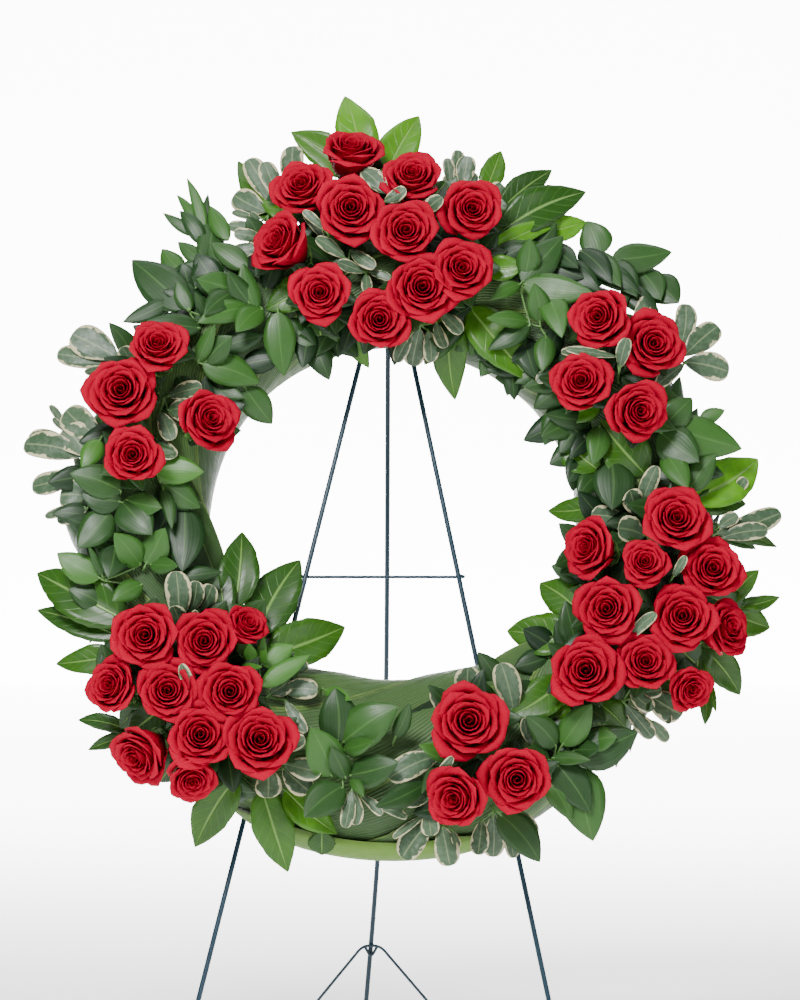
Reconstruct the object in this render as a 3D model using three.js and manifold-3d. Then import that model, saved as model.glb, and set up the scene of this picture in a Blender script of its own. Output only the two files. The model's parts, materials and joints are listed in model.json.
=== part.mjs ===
// A funeral wreath of red roses on a folding wire easel. Millimetres, +Z up, front towards -Y.
import * as THREE from 'three';
import { mergeVertices } from 'three/addons/utils/BufferGeometryUtils.js';
import Module from 'manifold-3d';

const wasm = await Module();
wasm.setup();

// The ring: a foam core with strap leaves wound over it, flat at the back
const RING_RADIUS = 248;
const RING_HALF_WIDTH = 60;
const RING_SIDE_HEIGHT = 24;
const RING_CROWN = 56;
const WRAP_THICKNESS = 4;
const WRAP_COUNT = 4;
const WRAP_STEPS = 6;
const RING_STEPS = WRAP_COUNT * WRAP_STEPS;
const SECTION_STEPS = 5;
// The leaves stand wider of the foam at the bottom: by what share, and over what angle each way
const BULGE = 0.38;
const BULGE_REACH = 0.65;
const BOTTOM = -Math.PI / 2;
const GAP = 0.3;
const WRAP_FLOOR = 1;
// Foliage is kept this far over the wrapped ring, which it would otherwise dip into
const ENVELOPE_MARGIN = 1;
const ENVELOPE_FLOOR = 0.5;
const WELD_TOLERANCE = 1e-4;

// How the wreath stands
const LEAN = THREE.MathUtils.degToRad(14);
const RING_CENTRE_HEIGHT = 505;

// Flower places are read as seen by an eye in front: millimetres, x right and y down
const EYE_DISTANCE = 6000;
const EYE_X = 400;
const EYE_Y = 500;
const EYE_SHIFT = 7;
const EYE_RISE = 30;
const RING_X = 393;
const RING_Y = 520;

// Stand wires, in the ring's own frame: u right, v up along the ring, w out of its face
const LEG_RADIUS = 2.5;
const LEG_DEPTH = -2.8;
const HINGE_U = -5;
const HINGE_V = 263;
const FRONT_EYE_OFFSET = 7;
const FRONT_EYE_WIDTH = 5;
const REAR_EYE_WIDTH = 8;
const EYE_RADIUS = 5.5;
const PIN_RADIUS = 2;
const PIN_SIDES = 8;
const WIRE_SIDES = 8;
const THIN_SIDES = 5;
const PIN_HEAD_RADIUS = 4;
const PIN_HEAD_WIDTH = 2;
const PIN_HEAD_GAP = 1.5;
const HINGE_POCKET_WIDTH = 27;
const HINGE_POCKET_RADIUS = 6.8;
const ROD_OVERLAP = 0.6;
const LEFT_FOOT_U = -204;
const RIGHT_FOOT_U = 164;
const FOOT_V = -528;
const CROSS_WIRE_V = -46.6;
const CROSS_WIRE_U = [-94, 71];
const THIN_WIRE_RADIUS = 1.5;
const REAR_FOOT_Y = 330;
const REAR_LEG_BENDS = [[-7.5, 338], [-16, 167]];
const REAR_LEG_STEPS = 5;
const REAR_FOOT_X = -29;
const LEG_OVERRUN = { x: 1, z: 8 };
const FORK_TOP = 67;
const FORK_SHOULDERS = [-32, -14];
const FORK_FEET = [-85, 41];
const FORK_OVERRUN = { x: 4, z: 6 };
const TIE_RADIUS = 1;
const TIE_SIDES = 4;
const TIE_DEPTH = 26;
const HOOK_HALF_WIDTH = 15;
const STAPLE_V = -250;

// Flowers
const ROSE_SIDES = 8;
const ROSE_KNOT = 4;
const ROSE_RADIUS = 31;
const ROSE_PRESS = 2.5;
const ROSE_DEPTH = 36;
const ROSE_STEM_RADIUS = 2.6;
const ROSE_ROOT = 28;
// each row: share of the head's radius, height on a head of ROSE_RADIUS, how far five petals stand out
const ROSE_LAYERS = [
  [0.27, 0, 0], [0.84, 20, 0.03], [1.0, 38, 0.07], [0.76, 31, 0.03],
  [0.62, 45, 0.08], [0.36, 49, 0.1],
];
const ROSE_FACE = 146;
const ROSE_FALL = 0.0035;
const ROSE_FACE_TO_MIDDLE = 10;
const ROSE_KNOT_RISE = 9;
const ROSE_CENTRE = 40;
const PETAL_RISE = 20;
const ROOT_INNER = 208;
const ROOT_OUTER = 296;

// The circle that flowers and foliage are set round
const FOLIAGE_RADIUS = 254;
// The foliage's ground: its crest over the ring, how far it drops over a span, its slope past that
const GROUND_CREST = 80;
const GROUND_DROP = 40;
const GROUND_SPAN = 100;
const GROUND_SLOPE = 0.25;
const GROUND_FIRST_GUESS = 60;

// Foliage
const STEM_RADIUS = 1.5;
const STEM_SIDES = 3;
const STEM_EXIT = 3;
const STEM_ROOT = 40;
const STEM_REACH = 42;
const KNOT = 3;
const LEAF_STAGGER = 5;
const LEAF_OVER_GROUND = 2;
const RIBBED_WIDTH = 40;
const SIMPLE_WIDTH = 27;
const GROW = 0.7;
const PLANT_TOLERANCE = 0.1;
const RING_TOLERANCE = 0.05;
const KINDS = {
  ruscus: { thickness: 1.0, lift: 14, arch: 0.05, fold: -0.1, stations: [[0.3, 0.94], [0.68, 0.8]] },
  aralia: { thickness: 1.2, lift: 4, arch: 0.05, fold: 0.14, stations: [[0.26, 0.86], [0.62, 0.96]] },
  pittosporum: { thickness: 1.0, lift: 9, arch: 0.03, fold: 0, stations: [[0.34, 0.8], [0.72, 1.0]] },
};

const SIMPLE_STATION = [[0.5, 1]];
// Triangles of one face and the order of the rim, by how the blade is divided
const BLADES = {
  1: { top: [0, 2, 1, 1, 2, 3], rim: [0, 2, 3, 1] },
  2: { top: [0, 2, 1, 1, 2, 4, 1, 4, 3, 3, 4, 5], rim: [0, 2, 4, 5, 3, 1] },
  ribbed: {
    top: [0, 3, 2, 0, 2, 1, 2, 3, 6, 2, 6, 5, 1, 2, 5, 1, 5, 4, 5, 6, 7, 4, 5, 7],
    rim: [0, 3, 6, 7, 4, 1],
  },
};

const COLOURS = {
  rose: 0xb30522, ruscus: 0x3d7a36, aralia: 0x3f8a2c, pittosporum: 0x76906d,
  wrap: 0x4d7a3a, foam: 0x2f6b3a, wire: 0x1e3c4b, tie: 0x2a2f2a,
};

const MATERIALS = Object.fromEntries(Object.entries(COLOURS).map(([name, color]) => [
  name, new THREE.MeshStandardMaterial({ color, roughness: name === 'wire' ? 0.35 : 0.6, metalness: 0 }),
]));

// Rose bunches: each head is x, y, diameter, lean right, lean up
const ROSE_BUNCHES = {
  roses_top_left: [[352, 152, 64, 0, 0.8], [303, 188, 62, -0.3, 0.3], [351, 209, 68, 0, 0]],
  roses_top_right: [[413, 178, 62, 0, 0.5], [472, 210, 62, 0.2, 0], [406, 232, 66, 0, 0]],
  roses_top_far_left: [[280, 243, 64, -0.5, 0], [320, 294, 60, 0, 0]],
  roses_top_lower: [[379, 320, 60, 0, -0.2], [422, 288, 68, 0, 0], [461, 270, 62, 0.2, 0]],
  roses_shoulder: [[600, 318, 62, -0.3, 0], [653, 345, 64, 0.2, 0], [582, 383, 62, -0.2, 0],
    [638, 411, 60, 0.3, -0.3]],
  roses_right_upper: [[676, 520, 68, 0.1, 0], [590, 548, 60, -0.9, 0], [645, 563, 48, 0, 0],
    [712, 570, 62, 0.2, 0]],
  roses_right_middle: [[608, 610, 64, -0.2, 0], [683, 618, 66, 0, 0], [726, 628, 58, 0.8, 0]],
  roses_right_lower: [[586, 671, 70, -0.1, 0], [645, 663, 58, 0, 0], [690, 688, 46, 0.5, -0.6]],
  roses_bottom: [[469, 722, 74, 0, 0], [517, 779, 66, 0, -0.2], [457, 798, 62, -0.5, -0.3]],
  roses_left_upper: [[146, 636, 66, -0.1, 0], [205, 642, 62, 0, 0], [246, 626, 46, 0.5, 0.4]],
  roses_left_outer: [[112, 687, 56, -0.4, 0], [168, 692, 62, 0, 0], [140, 755, 62, -0.7, -0.6]],
  roses_left_lower: [[230, 692, 62, 0.1, 0], [200, 736, 64, 0, 0], [260, 741, 70, 0, 0],
    [192, 778, 50, 0, -0.7]],
  roses_shoulder_left: [[158, 347, 60, 0, 0.35], [122, 391, 72, -0.1, 0], [208, 420, 62, 0.4, 0],
    [133, 456, 58, 0, 0]],
};

// Leafy stems, nearest the eye first. Each leaf is base x, base y, tip x, tip y, width.
// up lifts the whole stem over its kind's own height, and rise lifts the leaf tips again.
const STEMS = [
  { name: 'ruscus_shoulder_near', kind: 'ruscus', up: 4, rise: 20, leaves: [
    [522, 282, 563, 236, 34], [524, 284, 592, 292, 34], [525, 275, 530, 238, 24],
    [530, 324, 488, 350, 22], [540, 322, 534, 283, 24], [545, 292, 562, 338, 28],
    [546, 336, 542, 372, 22]] },
  { name: 'ruscus_shoulder_far', kind: 'ruscus', up: 0, rise: 12, leaves: [
    [600, 255, 587, 221, 34], [612, 260, 672, 252, 32], [615, 260, 637, 297, 30],
    [640, 270, 661, 300, 30], [650, 278, 679, 303, 36]] },
  { name: 'ruscus_top_left', kind: 'ruscus', up: 0, rise: 6, leaves: [
    [206, 264, 214, 211, 27], [182, 272, 162, 249, 22]] },
  { name: 'ruscus_left_shoulder', kind: 'ruscus', up: 4, rise: 14, leaves: [
    [186, 308, 132, 260, 44], [168, 302, 123, 322, 20], [200, 328, 147, 321, 24],
    [234, 292, 197, 279, 28], [247, 290, 211, 243, 24], [250, 308, 197, 323, 24],
    [234, 292, 204, 315, 24], [256, 310, 243, 263, 22], [250, 304, 228, 271, 22],
    [262, 308, 236, 332, 26]] },
  { name: 'ruscus_left_inner', kind: 'ruscus', up: 4, rise: 14, leaves: [
    [203, 364, 260, 383, 34], [205, 362, 232, 336, 28], [245, 372, 272, 424, 30],
    [278, 322, 284, 376, 32]] },
  { name: 'ruscus_left', kind: 'ruscus', up: 4, rise: 16, leaves: [
    [100, 470, 82, 446, 22], [110, 512, 78, 548, 34], [121, 491, 70, 473, 34],
    [121, 502, 81, 494, 30], [122, 502, 152, 535, 38], [126, 500, 162, 508, 28],
    [163, 482, 200, 508, 28], [160, 480, 204, 472, 30], [185, 508, 182, 566, 36]] },
  { name: 'ruscus_left_bright', kind: 'ruscus', up: 0, rise: 20, leaves: [
    [100, 578, 57, 553, 30], [115, 545, 108, 578, 30], [140, 565, 114, 533, 28],
    [142, 584, 112, 601, 22], [146, 564, 165, 528, 30]] },
  { name: 'ruscus_shoots', kind: 'ruscus', up: 16, rise: 22, leaves: [
    [262, 664, 293, 645, 26], [262, 686, 310, 655, 20]] },
  { name: 'ruscus_bottom_left', kind: 'ruscus', up: 8, rise: 26, leaves: [
    [338, 742, 335, 688, 40], [343, 742, 398, 706, 44], [346, 778, 331, 747, 22],
    [332, 776, 311, 727, 38], [343, 786, 304, 817, 36], [350, 775, 399, 762, 34],
    [425, 784, 375, 807, 24], [430, 768, 419, 745, 20]] },
  { name: 'ruscus_bottom_right', kind: 'ruscus', up: 8, rise: 24, leaves: [
    [500, 814, 540, 862, 34], [550, 760, 520, 755, 32], [556, 746, 526, 716, 28],
    [548, 780, 571, 820, 24], [557, 764, 590, 812, 34], [562, 745, 592, 704, 30],
    [572, 755, 638, 732, 44], [580, 768, 593, 841, 46], [590, 742, 617, 737, 26]] },
  { name: 'ruscus_right_upper', kind: 'ruscus', up: 6, rise: 18, leaves: [
    [612, 470, 612, 510, 42], [612, 440, 593, 465, 24], [668, 426, 742, 449, 42],
    [664, 426, 692, 398, 30], [660, 432, 699, 462, 40], [665, 452, 688, 489, 26],
    [690, 490, 716, 454, 26]] },
  { name: 'pittosporum_bottom', kind: 'pittosporum', up: 8, rise: 14, leaves: [
    [440, 785, 389, 778, 26], [430, 822, 402, 858, 26], [442, 826, 450, 866, 24],
    [493, 815, 493, 857, 22]] },
  { name: 'pittosporum_bottom_near', kind: 'pittosporum', up: 2, rise: 30, leaves: [
    [470, 702, 468, 667, 26], [514, 714, 501, 663, 26]] },
  { name: 'pittosporum_left_lower', kind: 'pittosporum', up: 6, rise: 26, leaves: [
    [178, 622, 176, 571, 26], [200, 610, 212, 585, 20]] },
  { name: 'pittosporum_shoulder', kind: 'pittosporum', up: 8, rise: 10, leaves: [
    [680, 348, 686, 304, 22], [684, 356, 718, 326, 26], [684, 362, 729, 372, 28]] },
  { name: 'pittosporum_right', kind: 'pittosporum', up: 0, rise: 20, leaves: [
    [626, 521, 591, 515, 22], [640, 515, 630, 490, 22], [645, 536, 618, 528, 28],
    [716, 534, 781, 513, 24]] },
  { name: 'pittosporum_right_lower', kind: 'pittosporum', up: 6, rise: 12, leaves: [
    [625, 704, 653, 738, 17], [630, 690, 653, 710, 17], [645, 692, 682, 715, 30]] },
  { name: 'pittosporum_left_near', kind: 'pittosporum', up: 0, rise: 22, leaves: [
    [115, 361, 57, 354, 24], [118, 358, 72, 334, 34], [168, 410, 193, 412, 24]] },
  { name: 'pittosporum_left', kind: 'pittosporum', up: 0, rise: 6, leaves: [
    [100, 437, 66, 410, 32], [88, 456, 66, 427, 32], [84, 456, 24, 444, 28],
    [85, 476, 32, 487, 24], [86, 496, 60, 495, 30]] },
  { name: 'pittosporum_top_left', kind: 'pittosporum', up: 4, rise: 6, leaves: [
    [266, 212, 234, 195, 26], [275, 205, 248, 159, 24], [278, 200, 264, 162, 20],
    [292, 192, 293, 146, 24]] },
  { name: 'pittosporum_top_right', kind: 'pittosporum', up: -2, rise: 8, leaves: [
    [384, 200, 372, 171, 22], [422, 218, 438, 199, 18], [462, 188, 468, 156, 20]] },
  { name: 'pittosporum_top_lower', kind: 'pittosporum', up: 14, rise: 12, leaves: [
    [420, 328, 412, 366, 22]] },
  { name: 'pittosporum_bottom_left', kind: 'pittosporum', up: 4, rise: 10, leaves: [
    [270, 694, 290, 680, 20], [282, 690, 318, 690, 22], [284, 764, 321, 773, 22],
    [283, 768, 310, 792, 24], [268, 768, 268, 798, 26]] },
  { name: 'aralia_top_right', kind: 'aralia', up: 4, rise: 8, leaves: [
    [485, 192, 501, 151, 26], [502, 208, 552, 170, 30], [500, 232, 586, 192, 44],
    [496, 238, 524, 208, 22], [530, 232, 586, 222, 28]] },
  { name: 'aralia_top_bottom', kind: 'aralia', up: 2, rise: 6, leaves: [
    [450, 308, 455, 400, 38], [470, 308, 532, 382, 46], [487, 285, 525, 272, 28]] },
  { name: 'aralia_top_lower', kind: 'aralia', up: 2, rise: 4, leaves: [
    [312, 285, 266, 310, 38], [318, 318, 324, 370, 38], [345, 318, 369, 368, 24]] },
  { name: 'aralia_top', kind: 'aralia', up: 0, rise: 4, leaves: [
    [270, 222, 238, 161, 28], [296, 226, 253, 187, 28], [345, 185, 291, 132, 38],
    [360, 185, 345, 96, 46], [385, 185, 419, 116, 42]] },
  { name: 'aralia_right_upper', kind: 'aralia', up: 2, rise: 4, leaves: [
    [600, 506, 548, 511, 26], [598, 470, 558, 437, 38], [645, 474, 600, 420, 48],
    [600, 405, 562, 419, 26]] },
  { name: 'aralia_right', kind: 'aralia', up: 0, rise: 4, leaves: [
    [690, 502, 758, 459, 50], [694, 506, 746, 504, 30], [706, 650, 740, 695, 34],
    [728, 602, 759, 570, 24], [736, 616, 770, 628, 34]] },
  { name: 'aralia_right_inner', kind: 'aralia', up: 0, rise: 4, leaves: [
    [600, 612, 540, 583, 40], [590, 640, 507, 631, 46], [590, 682, 508, 717, 42],
    [590, 700, 535, 722, 24], [600, 704, 625, 728, 30]] },
  { name: 'aralia_left_inner', kind: 'aralia', up: 0, rise: 4, leaves: [
    [224, 612, 220, 566, 30], [235, 608, 242, 532, 42], [256, 634, 300, 560, 52],
    [268, 656, 345, 627, 50]] },
  { name: 'aralia_left', kind: 'aralia', up: 0, rise: 4, leaves: [
    [128, 622, 37, 573, 54], [118, 636, 37, 610, 34], [120, 655, 56, 664, 30]] },
  { name: 'aralia_bottom_left', kind: 'aralia', up: 0, rise: 4, leaves: [
    [236, 778, 195, 847, 42], [262, 790, 288, 872, 42], [285, 790, 337, 834, 34],
    [310, 815, 322, 855, 28]] },
];

// Solids

function toSolid(geometry) {
  geometry.deleteAttribute('normal');
  geometry.deleteAttribute('uv');
  const merged = mergeVertices(geometry, WELD_TOLERANCE);
  const vertProperties = Float32Array.from(merged.attributes.position.array);
  const triVerts = Uint32Array.from(merged.index.array);
  const solid = new wasm.Manifold(new wasm.Mesh({ numProp: 3, vertProperties, triVerts }));
  if (solid.volume() > 0) return solid;
  triVerts.reverse();
  return new wasm.Manifold(new wasm.Mesh({ numProp: 3, vertProperties, triVerts }));
}

function toMesh(name, solid, material) {
  const { vertProperties, triVerts } = solid.getMesh();
  const geometry = new THREE.BufferGeometry();
  geometry.setAttribute('position', new THREE.BufferAttribute(vertProperties, 3));
  geometry.setIndex(new THREE.BufferAttribute(triVerts, 1));
  geometry.computeVertexNormals();
  const mesh = new THREE.Mesh(geometry, material);
  mesh.name = name;
  return mesh;
}

function join(solids) {
  return solids.reduce((whole, solid) => whole.add(solid));
}

function boxesMeet(a, b) {
  const first = a.boundingBox();
  const second = b.boundingBox();
  return [0, 1, 2].every((i) => first.min[i] < second.max[i] && second.min[i] < first.max[i]);
}

function cutBy(solid, cutters) {
  return cutters.reduce((rest, cutter) => (boxesMeet(rest, cutter) ? rest.subtract(cutter) : rest), solid);
}

function largestBody(solid) {
  const bodies = solid.decompose();
  return bodies.reduce((best, body) => (body.volume() > best.volume() ? body : best));
}

function polygon(radius, sides) {
  const corners = Array.from({ length: sides }, (_, i) => {
    const angle = (2 * Math.PI * i) / sides;
    return new THREE.Vector2(radius * Math.cos(angle), radius * Math.sin(angle));
  });
  return new THREE.Shape(corners);
}

function wire(points, radius, sides, steps) {
  const route = points.length === 2
    ? new THREE.LineCurve3(points[0], points[1])
    : new THREE.CatmullRomCurve3(points, false, 'centripetal');
  return toSolid(new THREE.ExtrudeGeometry(polygon(radius, sides), { steps, extrudePath: route }));
}

// Straight rods from point to point, each a little longer than its stretch so that they join
function rods(points, radius, sides) {
  return join(points.slice(1).map((end, i) => {
    const reach = end.clone().sub(points[i]).setLength(radius * ROD_OVERLAP);
    return wire([points[i].clone().sub(reach), end.clone().add(reach)], radius, sides, 1);
  }));
}

// Places

function fromEye(x, y, w) {
  let v = 0;
  let scale = 1;
  for (let pass = 0; pass < 3; pass += 1) {
    scale = (EYE_DISTANCE - w * Math.cos(LEAN) + v * Math.sin(LEAN)) / EYE_DISTANCE;
    v = (EYE_RISE + (EYE_Y - y) * scale - w * Math.sin(LEAN)) / Math.cos(LEAN);
  }
  return new THREE.Vector3(EYE_SHIFT + (x - EYE_X) * scale, v, w);
}

// Height of the foliage's ground: just over the wrapped ring, then sloping away outside it
function ground(u, v) {
  const offset = Math.abs(Math.hypot(u, v) - FOLIAGE_RADIUS);
  if (offset < GROUND_SPAN) return GROUND_CREST - GROUND_DROP * (offset / GROUND_SPAN) ** 2;
  return GROUND_CREST - GROUND_DROP - GROUND_SLOPE * (offset - GROUND_SPAN);
}

function settle(x, y, lift) {
  let place = fromEye(x, y, GROUND_FIRST_GUESS);
  for (let pass = 0; pass < 3; pass += 1) {
    place = fromEye(x, y, ground(place.x, place.y) + lift);
  }
  return place;
}

function rootUnder(place, depth) {
  const radius = Math.hypot(place.x, place.y);
  const scale = THREE.MathUtils.clamp(radius, ROOT_INNER, ROOT_OUTER) / radius;
  return new THREE.Vector3(place.x * scale, place.y * scale, depth);
}

const toStand = new THREE.Matrix4().makeRotationX(Math.PI / 2 - LEAN).setPosition(0, 0, RING_CENTRE_HEIGHT);

function onStand(u, v, w) {
  return new THREE.Vector3(u, v, w).applyMatrix4(toStand);
}

// Ring

function ringProfile(inset, floor, steps) {
  const half = RING_HALF_WIDTH - inset;
  const crown = RING_CROWN - inset;
  const arc = Array.from({ length: steps + 1 }, (_, i) => {
    const angle = (Math.PI * i) / steps;
    return new THREE.Vector2(RING_RADIUS + half * Math.cos(angle), RING_SIDE_HEIGHT + crown * Math.sin(angle));
  });
  return [new THREE.Vector2(RING_RADIUS + half, floor), ...arc, new THREE.Vector2(RING_RADIUS - half, floor)];
}

function turned(profile, steps, start, sweep) {
  const geometry = new THREE.LatheGeometry(profile, steps, start, sweep);
  return geometry.rotateX(Math.PI / 2);
}

// Widens a ring's section about its middle circle where the leaves bulge
function widened(x, y) {
  const angle = Math.atan2(y, x);
  const away = Math.abs(Math.atan2(Math.sin(angle - BOTTOM), Math.cos(angle - BOTTOM)));
  const share = 1 + BULGE * Math.exp(-((away / BULGE_REACH) ** 4));
  const radius = Math.hypot(x, y);
  const scale = (RING_RADIUS + (radius - RING_RADIUS) * share) / radius;
  return [x * scale, y * scale];
}

function wholeRing(inset, floor, steps) {
  const profile = ringProfile(inset, floor, SECTION_STEPS);
  profile.push(profile[0].clone());
  return toSolid(turned(profile.reverse(), steps, 0, 2 * Math.PI));
}

// What the wrapped ring takes up, with a small margin: foliage is kept out of it
function wrapEnvelope() {
  return wholeRing(-ENVELOPE_MARGIN, ENVELOPE_FLOOR, RING_STEPS).warp((point) => {
    [point[0], point[1]] = widened(point[0], point[1]);
  });
}

// One strap leaf: a bent strip whose section follows the ring, open at the back
function wrapLeaf(index) {
  const outer = ringProfile(0, WRAP_FLOOR, SECTION_STEPS);
  const inner = ringProfile(WRAP_THICKNESS, WRAP_FLOOR, SECTION_STEPS);
  const section = [...outer, ...inner.reverse()];
  const sweep = (2 * Math.PI) / WRAP_COUNT;
  const seam = GAP / RING_RADIUS;
  const rings = [];
  for (let step = 0; step <= WRAP_STEPS; step += 1) {
    const angle = index * sweep + seam + ((sweep - 2 * seam) * step) / WRAP_STEPS;
    rings.push(section.map(({ x, y }) => (
      new THREE.Vector3(...widened(x * Math.cos(angle), x * Math.sin(angle)), y))));
  }
  return toSolid(loft(rings));
}

// Skin through rings of equal length, with both ends closed as a C of quads
function loft(rings) {
  const count = rings[0].length;
  const positions = rings.flat().flatMap((point) => point.toArray());
  const faces = [];
  for (let ring = 0; ring < rings.length - 1; ring += 1) {
    for (let i = 0; i < count; i += 1) {
      const a = ring * count + i;
      const b = ring * count + ((i + 1) % count);
      faces.push(a, a + count, b, b, a + count, b + count);
    }
  }
  const last = (rings.length - 1) * count;
  for (let i = 0; i < count / 2 - 1; i += 1) {
    const j = count - 1 - i;
    faces.push(i, i + 1, j, i + 1, j - 1, j);
    faces.push(last + i, last + j, last + i + 1, last + i + 1, last + j, last + j - 1);
  }
  const geometry = new THREE.BufferGeometry();
  geometry.setAttribute('position', new THREE.Float32BufferAttribute(positions, 3));
  geometry.setIndex(faces);
  return geometry;
}

// Roses

// A head of petal layers whose underside runs down in a cone to the knot of its bunch
function roseHead(foot, axis, radius, knot, extra) {
  const scale = radius / ROSE_RADIUS;
  const profile = ROSE_LAYERS.map(([share, height]) => (
    new THREE.Vector2(share * radius + extra, height * scale + (height ? extra : 0))));
  profile.unshift(new THREE.Vector2(0, -1));
  profile.push(new THREE.Vector2(0, ROSE_CENTRE * scale + extra));
  const geometry = new THREE.LatheGeometry(profile, ROSE_SIDES);
  const position = geometry.attributes.position;
  const rows = profile.length;
  for (let i = 0; i < position.count; i += 1) {
    const layer = (i % rows) - 1;
    const side = Math.floor(i / rows) % ROSE_SIDES;
    const out = ROSE_LAYERS[layer] ? ROSE_LAYERS[layer][2] : 0;
    const petal = (side + Math.floor((layer + 1) / 2)) % 2 ? 1 : -1;
    const spread = 1 + out * petal;
    const rise = out * petal * PETAL_RISE * scale;
    position.setXYZ(i, position.getX(i) * spread, position.getY(i) + rise, position.getZ(i) * spread);
  }
  geometry.applyQuaternion(new THREE.Quaternion().setFromUnitVectors(new THREE.Vector3(0, 1, 0), axis));
  geometry.translate(foot.x, foot.y, foot.z);
  for (let i = 0; i < position.count; i += rows) position.setXYZ(i, knot.x, knot.y, knot.z);
  return toSolid(geometry);
}

function knotSolid(place, radius) {
  const geometry = new THREE.OctahedronGeometry(radius);
  return toSolid(geometry.translate(place.x, place.y, place.z));
}

function roseBunch(name, heads, ringEnvelope) {
  const places = heads.map(([x, y, diameter, right, up]) => {
    const axis = new THREE.Vector3(right, up, 1).normalize();
    const away = Math.hypot(x - RING_X, y - RING_Y) - FOLIAGE_RADIUS;
    const centre = fromEye(x, y, ROSE_FACE - ROSE_FALL * away ** 2 - ROSE_FACE_TO_MIDDLE);
    const radius = diameter / 2 - ROSE_PRESS;
    return { axis, radius, foot: centre.addScaledVector(axis, -ROSE_DEPTH * (radius / ROSE_RADIUS)) };
  });
  const middle = new THREE.Vector3();
  places.forEach(({ foot }) => middle.addScaledVector(foot, 1 / places.length));
  const root = rootUnder(middle, ROSE_ROOT);
  const knot = root.clone().setZ(ground(root.x, root.y) + ROSE_KNOT_RISE);
  const grown = (extra) => ({
    tops: join([
      knotSolid(knot, ROSE_KNOT + extra),
      ...places.map(({ foot, axis, radius }) => roseHead(foot, axis, radius, knot, extra)),
    ]),
    stems: rods([root, knot], ROSE_STEM_RADIUS + extra, STEM_SIDES),
  });
  return plantNode(name, 'rose', grown, ringEnvelope);
}

// Leaves

function leafPoints(kind, base, tip, width, extra) {
  const { stations, arch, fold } = KINDS[kind];
  const along = tip.clone().sub(base);
  const length = along.length();
  along.normalize();
  const right = along.clone().cross(new THREE.Vector3(0, 0, 1)).normalize();
  const over = right.clone().cross(along);
  const half = width / 2 + extra;
  const cuts = width < SIMPLE_WIDTH ? SIMPLE_STATION : stations;
  const rows = cuts.map(([share, wide]) => {
    const middle = base.clone().addScaledVector(along, share * length);
    middle.addScaledVector(over, arch * length * 4 * share * (1 - share));
    middle.z = Math.max(middle.z, ground(middle.x, middle.y) + LEAF_OVER_GROUND);
    const edge = (side) => middle.clone()
      .addScaledVector(right, side * half * wide).addScaledVector(over, fold * half * wide);
    return [edge(-1), middle, edge(1)];
  });
  const start = base.clone();
  const end = tip.clone().addScaledVector(along, extra);
  return { start, rows, end };
}

// A thin blade, the same triangles on both faces, with or without a rib line along its middle
function leafBlade(kind, base, tip, width, extra) {
  const { start, rows, end } = leafPoints(kind, base, tip, width, extra);
  const ribbed = kind !== 'pittosporum' && width >= RIBBED_WIDTH;
  const points = [start, ...rows.flatMap(([left, middle, right]) => (
    ribbed ? [left, middle, right] : [left, right])), end];
  const { top, rim } = BLADES[ribbed ? 'ribbed' : rows.length];
  const count = points.length;
  const half = KINDS[kind].thickness / 2 + extra;
  const positions = [half, -half].flatMap((rise) => points.flatMap(({ x, y, z }) => [x, y, z + rise]));
  const faces = [...top];
  for (let i = 0; i < top.length; i += 3) {
    faces.push(count + top[i], count + top[i + 2], count + top[i + 1]);
  }
  rim.forEach((a, i) => {
    const b = rim[(i + 1) % rim.length];
    faces.push(count + a, count + b, b, count + a, b, a);
  });
  const geometry = new THREE.BufferGeometry();
  geometry.setAttribute('position', new THREE.Float32BufferAttribute(positions, 3));
  geometry.setIndex(faces);
  return toSolid(geometry);
}

function nearest(points, place) {
  return points.reduce((best, point) => (point.distanceTo(place) < best.distanceTo(place) ? point : best));
}

// Leaves whose bases lie close together start from one knot, and rods tie the knots to the root
function leafyStem({ name, kind, up, rise, leaves }, ringEnvelope) {
  const lift = KINDS[kind].lift + up;
  const knots = [];
  const links = [];
  const blades = leaves.map(([baseX, baseY, tipX, tipY, width], i) => {
    const base = settle(baseX, baseY, lift);
    const tip = settle(tipX, tipY, lift + rise + LEAF_STAGGER * ((i % 3) - 1));
    const near = knots.length ? nearest(knots, base) : null;
    if (near && near.distanceTo(base) < STEM_REACH) return { base: near, tip, width };
    if (near) links.push([near, base]);
    knots.push(base);
    return { base, tip, width };
  });
  const root = rootUnder(knots[0], STEM_ROOT);
  const exit = root.clone().setZ(ground(root.x, root.y) + STEM_EXIT);
  const route = exit.distanceTo(knots[0]) > 4 * KNOT ? [root, exit, knots[0]] : [root, knots[0]];
  const grown = (extra) => ({
    tops: join([
      ...knots.map((knot) => knotSolid(knot, KNOT + extra)),
      ...links.map((link) => rods(link, STEM_RADIUS + extra, STEM_SIDES)),
      ...blades.map(({ base, tip, width }) => leafBlade(kind, base, tip, width, extra)),
    ]),
    stems: rods(route, STEM_RADIUS + extra, STEM_SIDES),
  });
  return plantNode(name, kind, grown, ringEnvelope);
}

function plantNode(name, kind, grown, ringEnvelope) {
  const exact = grown(0);
  const wide = grown(GROW);
  const room = join([0, GROW, -GROW].map((shift) => wide.tops.translate(0, 0, shift)));
  return {
    name,
    kind,
    solid: exact.tops.subtract(ringEnvelope).add(exact.stems),
    clearance: kind === 'rose' ? room.add(wide.stems) : wide.tops.add(wide.stems),
    stemClearance: wide.stems,
  };
}

// Stand

function disc(centre, radius, width) {
  const geometry = new THREE.CylinderGeometry(radius, radius, width, PIN_SIDES).rotateZ(Math.PI / 2);
  return toSolid(geometry.translate(centre.x, centre.y, centre.z));
}

function flatFeet(solid) {
  return solid.trimByPlane([0, 0, 1], 0);
}

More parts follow.
